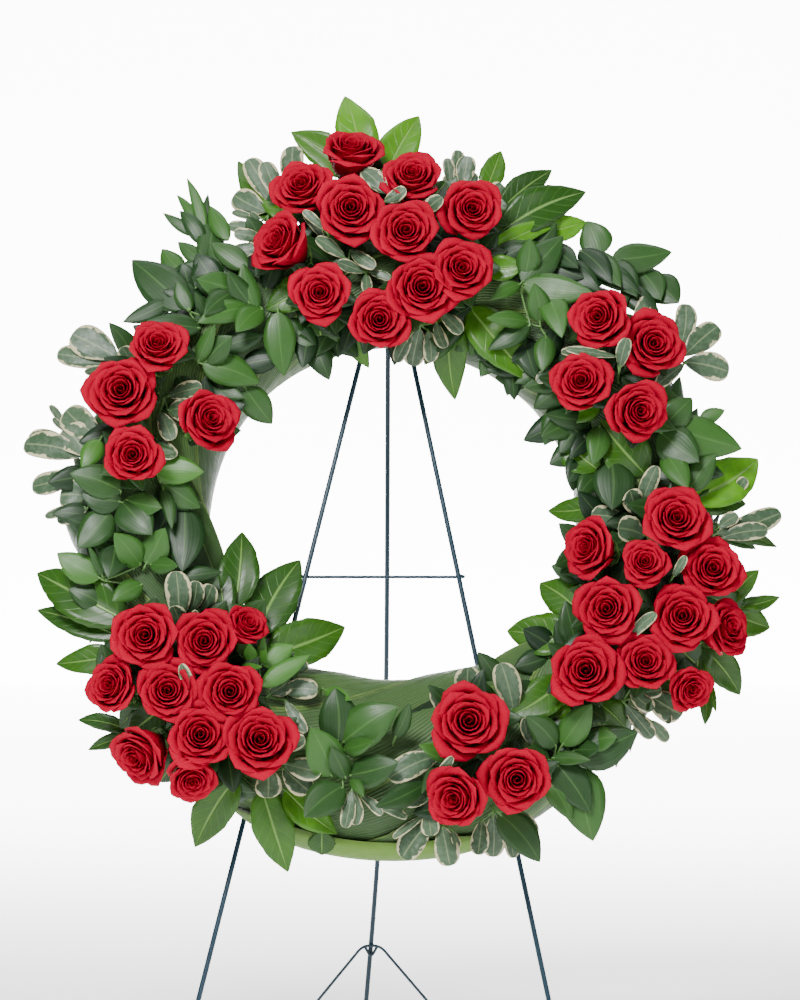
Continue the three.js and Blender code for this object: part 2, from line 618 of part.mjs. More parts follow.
function frontLeg(side, footU) {
  const top = onStand(HINGE_U + side * FRONT_EYE_OFFSET, HINGE_V, LEG_DEPTH);
  const leg = wire([top, onStand(footU, FOOT_V, LEG_DEPTH)], LEG_RADIUS, WIRE_SIDES, 1);
  const eye = disc(top, EYE_RADIUS, FRONT_EYE_WIDTH);
  return flatFeet(leg.add(eye).subtract(disc(top, PIN_RADIUS + GAP, 3 * FRONT_EYE_WIDTH)));
}

const hinge = onStand(HINGE_U, HINGE_V, LEG_DEPTH);
const REAR_SLOPE = (REAR_FOOT_Y - hinge.y) / hinge.z;

function onRearLeg(x, z, ahead) {
  return new THREE.Vector3(x, hinge.y + (hinge.z - z) * REAR_SLOPE - ahead, z);
}

function rearLeg() {
  const bends = REAR_LEG_BENDS.map(([x, z]) => onRearLeg(x, z, 0));
  const end = onRearLeg(REAR_FOOT_X - LEG_OVERRUN.x, -LEG_OVERRUN.z, 0);
  const leg = wire([hinge, ...bends, end], LEG_RADIUS, WIRE_SIDES, REAR_LEG_STEPS);
  const eye = disc(hinge, EYE_RADIUS, REAR_EYE_WIDTH);
  return flatFeet(leg.add(eye).subtract(disc(hinge, PIN_RADIUS + GAP, 2 * REAR_EYE_WIDTH)));
}

function rearFoot() {
  const ahead = (LEG_RADIUS + THIN_WIRE_RADIUS + GAP) * Math.hypot(1, REAR_SLOPE);
  const [left, right] = FORK_SHOULDERS;
  const [leftFoot, rightFoot] = FORK_FEET;
  return flatFeet(rods([
    onRearLeg(leftFoot - FORK_OVERRUN.x, -FORK_OVERRUN.z, ahead),
    onRearLeg(left, FORK_TOP, ahead),
    onRearLeg(right, FORK_TOP, ahead),
    onRearLeg(rightFoot + FORK_OVERRUN.x, -FORK_OVERRUN.z, ahead),
  ], THIN_WIRE_RADIUS, THIN_SIDES));
}

function topPin() {
  const headOffset = FRONT_EYE_OFFSET + FRONT_EYE_WIDTH / 2 + PIN_HEAD_GAP + PIN_HEAD_WIDTH / 2;
  const length = 2 * headOffset + PIN_HEAD_WIDTH;
  const heads = [-1, 1].map((side) => {
    const centre = hinge.clone().setX(hinge.x + side * headOffset);
    return disc(centre, PIN_HEAD_RADIUS, PIN_HEAD_WIDTH);
  });
  return join([disc(hinge, PIN_RADIUS, length), ...heads]);
}

function crossWire() {
  const w = LEG_DEPTH - LEG_RADIUS - THIN_WIRE_RADIUS - GAP;
  const ends = CROSS_WIRE_U.map((u) => onStand(u, CROSS_WIRE_V, w));
  return wire(ends, THIN_WIRE_RADIUS, THIN_SIDES, 1);
}

// A U of thin wire: two prongs into the foam's back and a bar behind what it holds
function tie(uLeft, uRight, v, barDepth, radius) {
  return rods([
    onStand(uLeft, v, TIE_DEPTH), onStand(uLeft, v, barDepth),
    onStand(uRight, v, barDepth), onStand(uRight, v, TIE_DEPTH),
  ], radius, TIE_SIDES);
}

function hook(radius) {
  const v = HINGE_V + PIN_HEAD_RADIUS + TIE_RADIUS + GAP;
  const barDepth = LEG_DEPTH - EYE_RADIUS - TIE_RADIUS - 2 * GAP;
  return tie(HINGE_U - HOOK_HALF_WIDTH, HINGE_U + HOOK_HALF_WIDTH, v, barDepth, radius);
}

function staple(side, footU, radius) {
  const share = (HINGE_V - STAPLE_V) / (HINGE_V - FOOT_V);
  const top = HINGE_U + side * FRONT_EYE_OFFSET;
  const u = top + (footU - top) * share;
  const slope = Math.hypot(1, (footU - top) / (HINGE_V - FOOT_V));
  const offset = (LEG_RADIUS + TIE_RADIUS + GAP) * slope;
  const barDepth = LEG_DEPTH - LEG_RADIUS - TIE_RADIUS - GAP;
  return tie(u - offset, u + offset, STAPLE_V, barDepth, radius);
}

// Assembly

const ringEnvelope = wrapEnvelope();
const planted = [
  ...Object.entries(ROSE_BUNCHES).map(([name, heads]) => roseBunch(name, heads, ringEnvelope)),
  ...STEMS.map((stem) => leafyStem(stem, ringEnvelope)),
];
planted.forEach((node, i) => {
  const nearer = planted.slice(0, i).map(({ clearance }) => clearance);
  node.body = largestBody(cutBy(node.solid, nearer)).simplify(PLANT_TOLERANCE);
});

const wreath = new THREE.Group();
wreath.applyMatrix4(toStand);
planted.forEach(({ name, kind, body }) => wreath.add(toMesh(name, body, MATERIALS[kind])));

const stemHoles = planted.map(({ stemClearance }) => stemClearance);
for (let index = 0; index < WRAP_COUNT; index += 1) {
  const leaf = largestBody(cutBy(wrapLeaf(index), stemHoles)).simplify(RING_TOLERANCE);
  wreath.add(toMesh(`wrap_leaf_${index + 1}`, leaf, MATERIALS.wrap));
}

const toRing = toStand.clone().invert();
const tieHoles = [
  hook(TIE_RADIUS + GAP),
  staple(-1, LEFT_FOOT_U, TIE_RADIUS + GAP),
  staple(1, RIGHT_FOOT_U, TIE_RADIUS + GAP),
  disc(hinge, HINGE_POCKET_RADIUS, HINGE_POCKET_WIDTH),
].map((solid) => solid.transform(toRing.elements));
const core = wholeRing(WRAP_THICKNESS + GAP, 0, RING_STEPS);
const foam = largestBody(cutBy(core, [...stemHoles, ...tieHoles])).simplify(RING_TOLERANCE);
wreath.add(toMesh('foam_ring', foam, MATERIALS.foam));

const stand = new THREE.Group();
stand.add(
  toMesh('easel_left_leg', frontLeg(-1, LEFT_FOOT_U), MATERIALS.wire),
  toMesh('easel_right_leg', frontLeg(1, RIGHT_FOOT_U), MATERIALS.wire),
  toMesh('easel_rear_leg', rearLeg(), MATERIALS.wire),
  toMesh('easel_rear_foot', rearFoot(), MATERIALS.wire),
  toMesh('easel_top_pin', topPin(), MATERIALS.wire),
  toMesh('easel_cross_wire', crossWire(), MATERIALS.wire),
  toMesh('easel_hook', hook(TIE_RADIUS), MATERIALS.tie),
  toMesh('staple_left', staple(-1, LEFT_FOOT_U, TIE_RADIUS), MATERIALS.tie),
  toMesh('staple_right', staple(1, RIGHT_FOOT_U, TIE_RADIUS), MATERIALS.tie),
);

// The origin lies under the middle of the whole object, on the floor
const object = new THREE.Group();
object.add(wreath, stand);
object.updateMatrixWorld(true);
const box = new THREE.Box3().setFromObject(object, true);
object.position.set(-(box.min.x + box.max.x) / 2, -(box.min.y + box.max.y) / 2, 0);

export default object;
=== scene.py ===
import json
from math import cos, exp, hypot, pi, radians, sin, tau
from random import Random

import bpy
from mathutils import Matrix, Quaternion, Vector


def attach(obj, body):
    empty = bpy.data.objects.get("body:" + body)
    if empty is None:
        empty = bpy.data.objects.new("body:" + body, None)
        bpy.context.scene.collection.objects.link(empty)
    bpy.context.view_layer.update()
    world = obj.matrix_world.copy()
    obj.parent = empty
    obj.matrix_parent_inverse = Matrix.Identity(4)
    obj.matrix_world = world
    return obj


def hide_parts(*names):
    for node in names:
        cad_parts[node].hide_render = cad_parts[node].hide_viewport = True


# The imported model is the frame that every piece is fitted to. The ring leans back on its
# easel, and its centre lies below and in front of the pin that the rear leg swings on.
# Flower places are read as an eye six metres in front sees them, in millimetres. On the ring
# itself u is millimetres to the right, v up along its lean and w out of its face.
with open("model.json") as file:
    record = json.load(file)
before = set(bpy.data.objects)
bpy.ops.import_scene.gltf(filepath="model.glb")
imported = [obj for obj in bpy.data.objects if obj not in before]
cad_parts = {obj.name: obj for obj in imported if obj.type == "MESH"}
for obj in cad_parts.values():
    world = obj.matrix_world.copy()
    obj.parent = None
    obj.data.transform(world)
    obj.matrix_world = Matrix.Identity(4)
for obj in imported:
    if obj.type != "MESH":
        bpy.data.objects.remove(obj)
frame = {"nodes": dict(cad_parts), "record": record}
bpy.ops.object.select_all(action="DESELECT")
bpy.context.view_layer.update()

lean = radians(14)
pin = Vector(frame["record"]["behaviour"]["joints"][0]["pos_m"])
pin_u, pin_v, pin_w = -5, 263, -2.8
ring_centre = Vector((
    pin.x - pin_u / 1000, pin.y - (pin_v * sin(lean) - pin_w * cos(lean)) / 1000, 0.505))
ring_front = 80
foliage_radius = 254
eye_right, eye_up, eye_distance = 7, 30, 6000
view_middle_x, view_middle_y = 400, 500


def on_ring(u, v, w):
    """A place in the frame's own metres from a place on the ring."""
    back = v * sin(lean) - w * cos(lean)
    height = v * cos(lean) + w * sin(lean)
    return ring_centre + Vector((u, back, height)) / 1000


def seen_at(x, y, w):
    """Where the eye's line through x, y meets the plane w in front of the ring's back."""
    v, scale = 0.0, 1.0
    for _ in range(3):
        scale = (eye_distance - w * cos(lean) + v * sin(lean)) / eye_distance
        v = (eye_up + (view_middle_y - y) * scale - w * sin(lean)) / cos(lean)
    return Vector((eye_right + (x - view_middle_x) * scale, v, w))


def ground(u, v):
    """Height that the foliage lies on: over the wrapped ring, and sloping away past it."""
    away = abs(hypot(u, v) - foliage_radius)
    if away < 100:
        return ring_front - 40 * (away / 100) ** 2
    return ring_front - 40 - 0.25 * (away - 100)


def seen_on_ground(x, y, lift):
    """Where the eye's line through x, y comes within lift of the ground."""
    place = seen_at(x, y, 60)
    for _ in range(3):
        place = seen_at(x, y, ground(place.x, place.y) + lift)
    return place


def root_under(place, depth):
    """The point in the foam that a stem under this place is pushed into."""
    foam_inside, foam_outside = 208, 296
    radius = hypot(place.x, place.y)
    scale = min(max(radius, foam_inside), foam_outside) / radius
    return Vector((place.x * scale, place.y * scale, depth))


# Ring core: wet floral foam on the stand's front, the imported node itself, seen only from the
# back and through the gaps. Its finish is made here with the sockets that all finishes use.
class Socket:
    """A shader socket that adds, subtracts and multiplies like a number."""

    def __init__(self, tree, link):
        self.tree = tree
        self.link = link

    def node(self, kind, values=(), out=0, **settings):
        made = self.tree.nodes.new("ShaderNode" + kind)
        for name, value in settings.items():
            setattr(made, name, value)
        for place, value in dict(values).items():
            if isinstance(value, Socket):
                self.tree.links.new(value.link, made.inputs[place])
            else:
                made.inputs[place].default_value = value
        return Socket(self.tree, made.outputs[out])

    def math(self, operation, *values):
        return self.node("Math", enumerate(values), operation=operation)

    def __add__(self, other):
        return self.math("ADD", self, other)

    def __radd__(self, other):
        return self.math("ADD", other, self)

    def __sub__(self, other):
        return self.math("SUBTRACT", self, other)

    def __rsub__(self, other):
        return self.math("SUBTRACT", other, self)

    def __mul__(self, other):
        return self.math("MULTIPLY", self, other)

    def __rmul__(self, other):
        return self.math("MULTIPLY", other, self)

    def power(self, exponent):
        return self.math("POWER", self, exponent)

    def size(self):
        return self.math("ABSOLUTE", self)

    def wave(self):
        return self.math("SINE", self)

    def part(self):
        return self.math("FRACT", self)

    def eased(self, low, high):
        return self.node("MapRange", {0: self, 1: low, 2: high}, interpolation_type="SMOOTHSTEP")

    def blend(self, first, second):
        """A colour that goes from first to second as this goes from 0 to 1."""
        return self.node("Mix", {0: self, 6: first, 7: second}, out=2, data_type="RGBA")


def finish(name, roughness, **fixed):
    """A new material, its shader, and a socket that stands for the object's own coordinates."""
    material = bpy.data.materials.new(name)
    material.use_nodes = True
    shader = material.node_tree.nodes["Principled BSDF"]
    shader.inputs["Roughness"].default_value = roughness
    for socket, value in fixed.items():
        shader.inputs[socket.replace("_", " ")].default_value = value
    place = Socket(material.node_tree, None).node("TexCoord", out=3)
    return material, shader, place


def grain(place, scale, detail=2.0, roughness=0.5):
    """Soft noise from 0 to 1, finer as the scale goes up."""
    return place.node("TexNoise", {0: place, 2: scale, 3: detail, 4: roughness})


def connect(shader, height=None, depth=0.0, **sockets):
    """Joins sockets to the shader's inputs, and a height as relief of this depth in metres."""
    for name, socket in sockets.items():
        socket.tree.links.new(socket.link, shader.inputs[name.replace("_", " ")])
    if height:
        bump = height.node("Bump", {0: 1.0, 1: depth, 3: height})
        height.tree.links.new(bump.link, shader.inputs["Normal"])


def paint(piece, material):
    piece.data.materials.clear()
    piece.data.materials.append(material)


foam, shader, place = finish("floral foam", 0.95)
cells = grain(place, 900)
colour = grain(place, 45, 6.0, 0.7).eased(0.3, 0.7).blend(
    (0.006, 0.040, 0.014, 1), (0.016, 0.075, 0.028, 1))
connect(shader, height=cells, depth=0.001, Base_Color=colour)
paint(frame["nodes"]["foam_ring"], foam)


# Leaf wrap: long ribbed strap leaves wound over the foam at a shallow angle, each lapping the
# one before it. A smooth green skin lies under them, and their ends are tucked in behind.
def grid(name, across, along):
    bpy.ops.mesh.primitive_grid_add(x_subdivisions=across, y_subdivisions=along, size=2)
    piece = bpy.context.object
    piece.name = piece.data.name = name
    return piece


def shape(piece, surface, tone=0.5):
    """Lays a flat grid on surface(a, t), a from -1 to 1 across and t from 0 to 1 along. The
    tone, from 0 dark to 1 bright, is kept on the mesh for the material."""
    for vertex in piece.data.vertices:
        vertex.co = surface(vertex.co.x, (vertex.co.y + 1) / 2)
    shade = piece.data.attributes.new("tone", "FLOAT", "POINT")
    for value in shade.data:
        value.value = tone


def joined(name, pieces, thickness=0.0):
    """One piece from many, smooth, and given a real thickness where it is a set of thin sheets."""
    bpy.ops.object.select_all(action="DESELECT")
    for piece in pieces:
        piece.select_set(True)
    bpy.context.view_layer.objects.active = pieces[0]
    bpy.ops.object.join()
    whole = bpy.context.object
    whole.name = whole.data.name = name
    bpy.ops.object.shade_smooth()
    if thickness:
        solidify = whole.modifiers.new("thickness", "SOLIDIFY")
        solidify.thickness = thickness
        solidify.offset = 0
        bpy.ops.object.modifier_apply(modifier=solidify.name)
    bpy.ops.object.select_all(action="DESELECT")
    return whole


ring_radius = 248
ring_half_width = 60
wrap_middle = 24
bottom = 1.5 * pi


def apart(turn, other):
    """The angle between two turns round the ring, the shorter way."""
    return abs((turn - other + pi) % tau - pi)


def round_section(turn, section, out):
    """A place on the wrapped ring: turn round the ring, section from outer back to inner back.
    The leaves stand wider of the foam at the bottom, where they are bent least tightly."""
    angle = min(max(section, 0.0), 1.0) * pi
    half = (ring_half_width + out) * (1 + 0.38 * exp(-(apart(turn, bottom) / 0.65) ** 4))
    radius = ring_radius + half * cos(angle)
    height = wrap_middle + (ring_front - wrap_middle + out) * sin(angle)
    if section < 0:
        height = wrap_middle + 80 * section
    if section > 1:
        height = wrap_middle - 80 * (section - 1)
    return on_ring(radius * cos(turn), radius * sin(turn), height)


skin = grid("wrap_skin", 20, 96)
shape(skin, lambda a, t: round_section(tau * t, 0.5 - 0.78 * a, 0), 0.2)

strap_seed = Random(5)
strap_count = 16
straps = []
for i in range(strap_count):
    strap = grid("strap", 8, 30)
    start = tau * (i + strap_seed.uniform(-0.15, 0.15)) / strap_count
    sweep = radians(150 + strap_seed.uniform(-8, 8))
    phase = strap_seed.uniform(0, 6)
    out = 1.2 + 1.1 * (i % 3)

    def strap_surface(a, t):
        taper = min(1, 3.2 * min(t, 1 - t) + 0.15)
        section = -0.18 + 1.36 * t + 0.22 * a * taper
        swell = 0.8 * sin(9 * t + phase) * (1 - a * a) + 2.2 * (a + 1) / 2
        snug = min(1, 5 * min(t, 1 - t) + 0.1)
        return round_section(start + sweep * t, section, (out + swell) * snug)

    shape(strap, strap_surface, strap_seed.uniform(0.25, 0.7))
    straps.append(strap)

wrap = joined("wrap_leaves", straps, 0.0006)


def blade_map(place):
    """A blade's tone, and how far across it and along it a place is, from 0 to 1."""
    uv = place.node("TexCoord", out=2)
    return (place.node("Attribute", out=2, attribute_name="tone"),
            place.node("SeparateXYZ", {0: uv}), place.node("SeparateXYZ", {0: uv}, out=1))


strap_leaf, shader, place = finish("strap leaf", 0.45, Specular_IOR_Level=0.3)
rib_count = 30
tone, across, along = blade_map(place)
rib = ((across + grain(place, 12) * 0.012) * rib_count * tau).wave() * 0.5 + 0.5
body = tone.blend((0.006, 0.026, 0.008, 1), (0.075, 0.155, 0.036, 1))
body = tone.eased(0.85, 1.0).blend(body, (0.11, 0.235, 0.016, 1))
edge = (across - 0.5).size().eased(0.43, 0.5)
colour = (rib * 0.16).blend(body, (0.09, 0.17, 0.055, 1))
colour = (edge * 0.6).blend(colour, (0.17, 0.27, 0.06, 1))
colour = (grain(place, 40).eased(0.45, 0.75) * 0.35).blend(colour, (0.015, 0.045, 0.012, 1))
connect(shader, height=rib, depth=0.0004, Base_Color=colour,
        Roughness=grain(place, 80) * 0.25 + 0.3)
for piece in (skin, wrap):
    paint(piece, strap_leaf)
    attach(piece, "front_frame")
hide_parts("wrap_leaf_1", "wrap_leaf_2", "wrap_leaf_3", "wrap_leaf_4")


# Easel: 5 mm steel wire dipped in dark blue-green paint. Each front leg ends in an eye on the
# top pin, and a 3 mm wire welded across behind them keeps them apart.
def tube(name, lines, radius, smooth=3):
    """Round wires or stems along lines of places, as one mesh, the radius in millimetres."""
    curve = bpy.data.curves.new(name, "CURVE")
    curve.dimensions = "3D"
    curve.bevel_depth = radius / 1000
    curve.bevel_resolution = smooth
    curve.use_fill_caps = True
    for line in lines:
        spline = curve.splines.new("POLY")
        spline.points.add(len(line) - 1)
        for point, place in zip(spline.points, line):
            point.co = (*place, 1)
    piece = bpy.data.objects.new(name, curve)
    bpy.context.collection.objects.link(piece)
    bpy.ops.object.select_all(action="DESELECT")
    bpy.context.view_layer.objects.active = piece
    piece.select_set(True)
    bpy.ops.object.convert(target="MESH")
    bpy.ops.object.shade_smooth_by_angle(angle=radians(60))
    piece.select_set(False)
    return piece


def bent(places, steps=8):
    """A smooth line through the places, as a wire bent over a former takes it."""
    line = [places[0]]
    for i in range(1, len(places) - 1):
        before_bend, bend, after_bend = places[i - 1], places[i], places[i + 1]
        reach = min((bend - before_bend).length, (after_bend - bend).length, 0.02) * 0.45
        enter = bend + (before_bend - bend).normalized() * reach
        leave = bend + (after_bend - bend).normalized() * reach
        for step in range(steps + 1):
            t = step / steps
            line.append(enter * (1 - t) ** 2 + bend * 2 * t * (1 - t) + leave * t * t)
    return line + [places[-1]]


def eye(name, x, width):
    """A ring of wire round the pin, its faces square to the pin, as wide as the space it has."""
    thickness = 0.0034
    bpy.ops.mesh.primitive_torus_add(
        major_segments=32, minor_segments=12, major_radius=0.0040, minor_radius=thickness / 2,
        location=(x, pin.y, pin.z), rotation=(0, pi / 2, 0))
    ring = bpy.context.object
    ring.name = name
    ring.scale.z = width / thickness
    bpy.ops.object.transform_apply(location=True, rotation=True, scale=True)
    return ring


def weld(place):
    """The bead of metal that holds a thin wire to a leg."""
    bpy.ops.mesh.primitive_uv_sphere_add(segments=12, ring_count=8, radius=0.0026, location=place)
    bead = bpy.context.object
    bead.name = "bead"
    bead.scale = (1.5, 1.0, 0.8)
    bpy.ops.object.transform_apply(location=True, rotation=True, scale=True)
    return bead


painted_wire, shader, place = finish("blue-green wire paint", 0.3, Specular_IOR_Level=0.35)
runs = grain(place, 140)
colour = runs.blend((0.006, 0.022, 0.038, 1), (0.012, 0.038, 0.060, 1))
connect(shader, height=runs, depth=0.0004, Base_Color=colour,
        Roughness=grain(place, 60) * 0.2 + 0.22)

leg_radius, thin_radius = 2.5, 1.5
leg_to_thin_wire = 4.3
neck_below_pin = 0.0045
foot_height = 2.4
eye_spacing = 7
left_foot_u, right_foot_u, foot_v = -204, 164, -528
for side, name, foot_u in ((-1, "easel_left_leg", left_foot_u),
                           (1, "easel_right_leg", right_foot_u)):
    top = on_ring(pin_u + eye_spacing * side, pin_v, pin_w)
    leg_line = on_ring(foot_u, foot_v, pin_w) - top
    foot = top + leg_line * ((top.z - foot_height / 1000) / -leg_line.z)
    neck = top + leg_line.normalized() * neck_below_pin
    leg = tube(name + "_wire", [[neck, foot]], leg_radius, 5)
    leg = joined(name + "_wire", [leg, eye(name + "_eye", top.x, 0.005)])
    paint(leg, painted_wire)
    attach(leg, "front_frame")
    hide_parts(name)

cross_v = -46.6
cross_ends = [on_ring(u, cross_v, pin_w - leg_to_thin_wire) for u in (-94, 71)]
cross = tube("cross_wire_rod", [cross_ends], thin_radius, 4)
beads = [weld(on_ring(u, cross_v, pin_w - 2.6)) for u in (-91.5, 68.5)]
cross = joined("cross_wire_rod", [cross, *beads])
paint(cross, painted_wire)
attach(cross, "front_frame")
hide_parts("easel_cross_wire")

# Top pin: a plain steel pin through the three eyes, with a pressed head at each end, painted
# with the wires. The legs turn on it.
bpy.ops.mesh.primitive_cylinder_add(
    vertices=24, radius=0.002, depth=0.026, location=pin, rotation=(0, pi / 2, 0))
shaft = bpy.context.object
heads = []
for side in (-1, 1):
    bpy.ops.mesh.primitive_uv_sphere_add(
        segments=20, ring_count=10, radius=0.004, location=pin + Vector((side * 0.0120, 0, 0)))
    head = bpy.context.object
    head.scale = (0.3, 1, 1)
    heads.append(head)
for piece in (shaft, *heads):
    piece.select_set(True)
bpy.ops.object.transform_apply(location=True, rotation=True, scale=True)
top_pin = joined("top_pin_shaft", [shaft, *heads])
paint(top_pin, painted_wire)
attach(top_pin, "front_frame")
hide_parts("easel_top_pin")

# Rear leg: one 5 mm wire that swings on the pin, slightly bowed, with a forked 3 mm wire
# welded in front of its lower end and a small loop under the fork's top.
rear_foot_y = ring_centre.y + 0.330
slope = (rear_foot_y - pin.y) / pin.z


def on_rear_leg(x, z, ahead=0.0):
    """A place on the rear leg's plane, from ring millimetres across and millimetres up."""
    height = z / 1000
    back = pin.y + (pin.z - height) * slope - ahead / 1000
    return Vector((ring_centre.x + x / 1000, back, height))


def bowed(places, steps=12):
    """A slow even bow through the places."""
    line = []
    for i in range(len(places) - 1):
        p0 = places[max(i - 1, 0)]
        p1, p2 = places[i], places[i + 1]
        p3 = places[min(i + 2, len(places) - 1)]
        for step in range(steps):
            t = step / steps
            line.append(0.5 * (2 * p1 + (p2 - p0) * t + (2 * p0 - 5 * p1 + 4 * p2 - p3) * t * t
                               + (3 * p1 - p0 - 3 * p2 + p3) * t ** 3))
    return line + [places[-1]]


rear_line = bowed([pin + Vector((0, 0.001, -neck_below_pin)), on_rear_leg(-7.5, 338),
                   on_rear_leg(-16, 167), on_rear_leg(-29, foot_height)])
rear = tube("rear_leg_wire", [rear_line], leg_radius, 5)
rear = joined("rear_leg_wire", [rear, eye("rear_eye", pin.x, 0.008)])
ahead = leg_to_thin_wire * hypot(1, slope)
fork_line = bent([on_rear_leg(-84.5, 1.5, ahead), on_rear_leg(-32, 67, ahead),
                  on_rear_leg(-14, 67, ahead), on_rear_leg(40.5, 1.5, ahead)])
loop_line = bent([on_rear_leg(-30, 66, ahead), on_rear_leg(-23.5, 54, ahead),
                  on_rear_leg(-17, 66, ahead)])
fork = tube("rear_foot_fork", [fork_line, loop_line], thin_radius, 4)
fork = joined("rear_foot_fork", [fork, weld(on_rear_leg(-23, 67, 0.55 * ahead))])
for piece, node in ((rear, "easel_rear_leg"), (fork, "easel_rear_foot")):
    paint(piece, painted_wire)
    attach(piece, "rear_leg")
    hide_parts(node)

# Ties: green enamelled florist's wire. A hook in the foam's back hangs over the top pin, and a
# staple on each side holds the ring to a front leg.
tie_wire, shader, place = finish("green tie wire", 0.35)
colour = grain(place, 200).blend((0.010, 0.035, 0.018, 1), (0.03, 0.07, 0.035, 1))
connect(shader, Base_Color=colour)
staple_v, staple_half_width = -250, 3.8
in_foam = 26
# each tie: node, name, its two prongs' u, its v, and the w that it reaches back to
tie_places = [("easel_hook", "hook_wire", -20, 10, 268.3, -9.9)]
for side, foot_u, node in ((-1, left_foot_u, "staple_left"), (1, right_foot_u, "staple_right")):
    top_u = pin_u + eye_spacing * side
    slant = (foot_u - top_u) / (pin_v - foot_v)
    u = top_u + slant * (pin_v - staple_v)
    half = staple_half_width * hypot(1, slant)
    tie_places.append((node, node + "_wire", u - half, u + half, staple_v, -6.6))
for node, name, left, right, v, back in tie_places:
    line = [on_ring(left, v, in_foam), on_ring(left, v, back), on_ring(right, v, back),
            on_ring(right, v, in_foam)]
    tie = tube(name, [bent(line, 4)], 1.0)
    paint(tie, tie_wire)
    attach(tie, "front_frame")
    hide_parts(node)


# Roses: half-open deep red heads, each a spiral of overlapping petals that stand up round a
# heart darkened with painted shade and curl back at the lips, on a green stem pushed into the
# foam. The lengths in the two surfaces are those of a usual head, 31 mm in radius.
usual_radius = 31
lip_start = 0.62


def rose_petal_surface(foot, axis, radius, openness, turn, seed):
    """The surface of one petal, from the tightest in the heart (0) to the guard petals (over 1).
    It cups up from the foot, then its lip rolls outward, most at its two shoulders."""
    scale = radius / usual_radius
    wall = radius * (0.05 + 0.71 * min(openness, 1.06) ** 0.85) * seed.uniform(0.95, 1.05)
    top = scale * (46.5 + 12 * min(openness, 0.2) - 14 * max(0, openness - 0.35) ** 1.4)
    top *= seed.uniform(0.97, 1.03)
    lip_radius = scale * (1.7 + 3.1 * openness)
    roll = 0.5 + 1.45 * openness ** 0.8 * seed.uniform(0.85, 1.15)
    width = 1.65 - 0.75 * min(openness, 1)
    skew = seed.uniform(-0.35, 0.35)
    point = seed.uniform(0.08, 0.34) * min(1, openness * 1.6)
    tuck = seed.uniform(0.02, 0.06)
    wave = seed.uniform(0, tau)
    to_axis = Quaternion((0, 0, 1), turn)
    facing = Vector((0, 0, 1)).rotation_difference(axis)

    def surface(a, t):
        t = t ** 0.8
        shoulder = 1 - 0.30 * a * a - 0.22 * abs(a) ** 5 + point * max(0, 1 - abs(a) / 0.34)
        if t < lip_start:
            share = t / lip_start
            r = wall * (0.14 + 0.86 * sin(share * pi / 2))
            z = (top - lip_radius) * share ** 0.9
        else:
            share = (t - lip_start) / (1 - lip_start) * shoulder
            bend = roll * share * (1 + skew * a)
            r = wall + lip_radius * (1 - cos(bend)) + lip_radius * 0.25 * share * openness
            z = top - lip_radius + lip_radius * sin(bend) + lip_radius * 0.15 * share
            z += 0.8 * scale * sin(3.5 * a + wave) * share
        r *= 1 + tuck * a - 0.07 * min(openness, 1) * a * a
        z -= (0.10 + 0.10 * openness) * top * a * a * t
        spread = a * width * (0.42 + 0.58 * sin(min(t / 0.45, 1) * pi / 2))
        flat = Vector((r * cos(spread), r * sin(spread), z))
        flat.rotate(to_axis)
        flat.rotate(facing)
        return on_ring(*(foot + flat))

    return surface


def sepal_surface(foot, axis, radius, turn):
    """One of the five green sepals under a head, spread out and up from the foot."""
    scale = radius / usual_radius
    facing = Vector((0, 0, 1)).rotation_difference(axis)
    to_axis = Quaternion((0, 0, 1), turn)

    def surface(a, t):
        wide = 6.0 * scale * (1 - t) ** 0.7 * (0.5 + 0.5 * min(1, 4 * t))
        flat = Vector((3.2 + 12 * scale * sin(t * 1.5), a * wide, -3 + 15 * scale * t * t))
        flat.rotate(to_axis)
        flat.rotate(facing)
        return on_ring(*(foot + flat))

    return surface


velvet, shader, place = finish("red rose petal", 0.6, Specular_IOR_Level=0.06)
tone, across, along = blade_map(place)
body = tone.blend((0.26, 0.0001, 0.012, 1), (0.37, 0.0001, 0.020, 1))
# painted shade: each petal darkens towards its foot, deep inside the head
colour = along.eased(0.0, 0.55).blend((0.17, 0.0001, 0.007, 1), body)
colour = (along.eased(0.93, 1.0) * 0.35).blend(colour, (0.42, 0.0002, 0.026, 1))
fan = ((across + grain(place, 60) * 0.03) * 90).wave()
mottle = grain(place, 260)
connect(shader, height=fan * 0.15 + mottle, depth=0.00025, Base_Color=colour,
        Roughness=mottle * 0.3 + 0.5)

stem_green, shader, place = finish("green stem", 0.5)
colour = grain(place, 90).blend((0.045, 0.12, 0.02, 1), (0.10, 0.22, 0.05, 1))
connect(shader, height=grain(place, 300), depth=0.0004, Base_Color=colour)

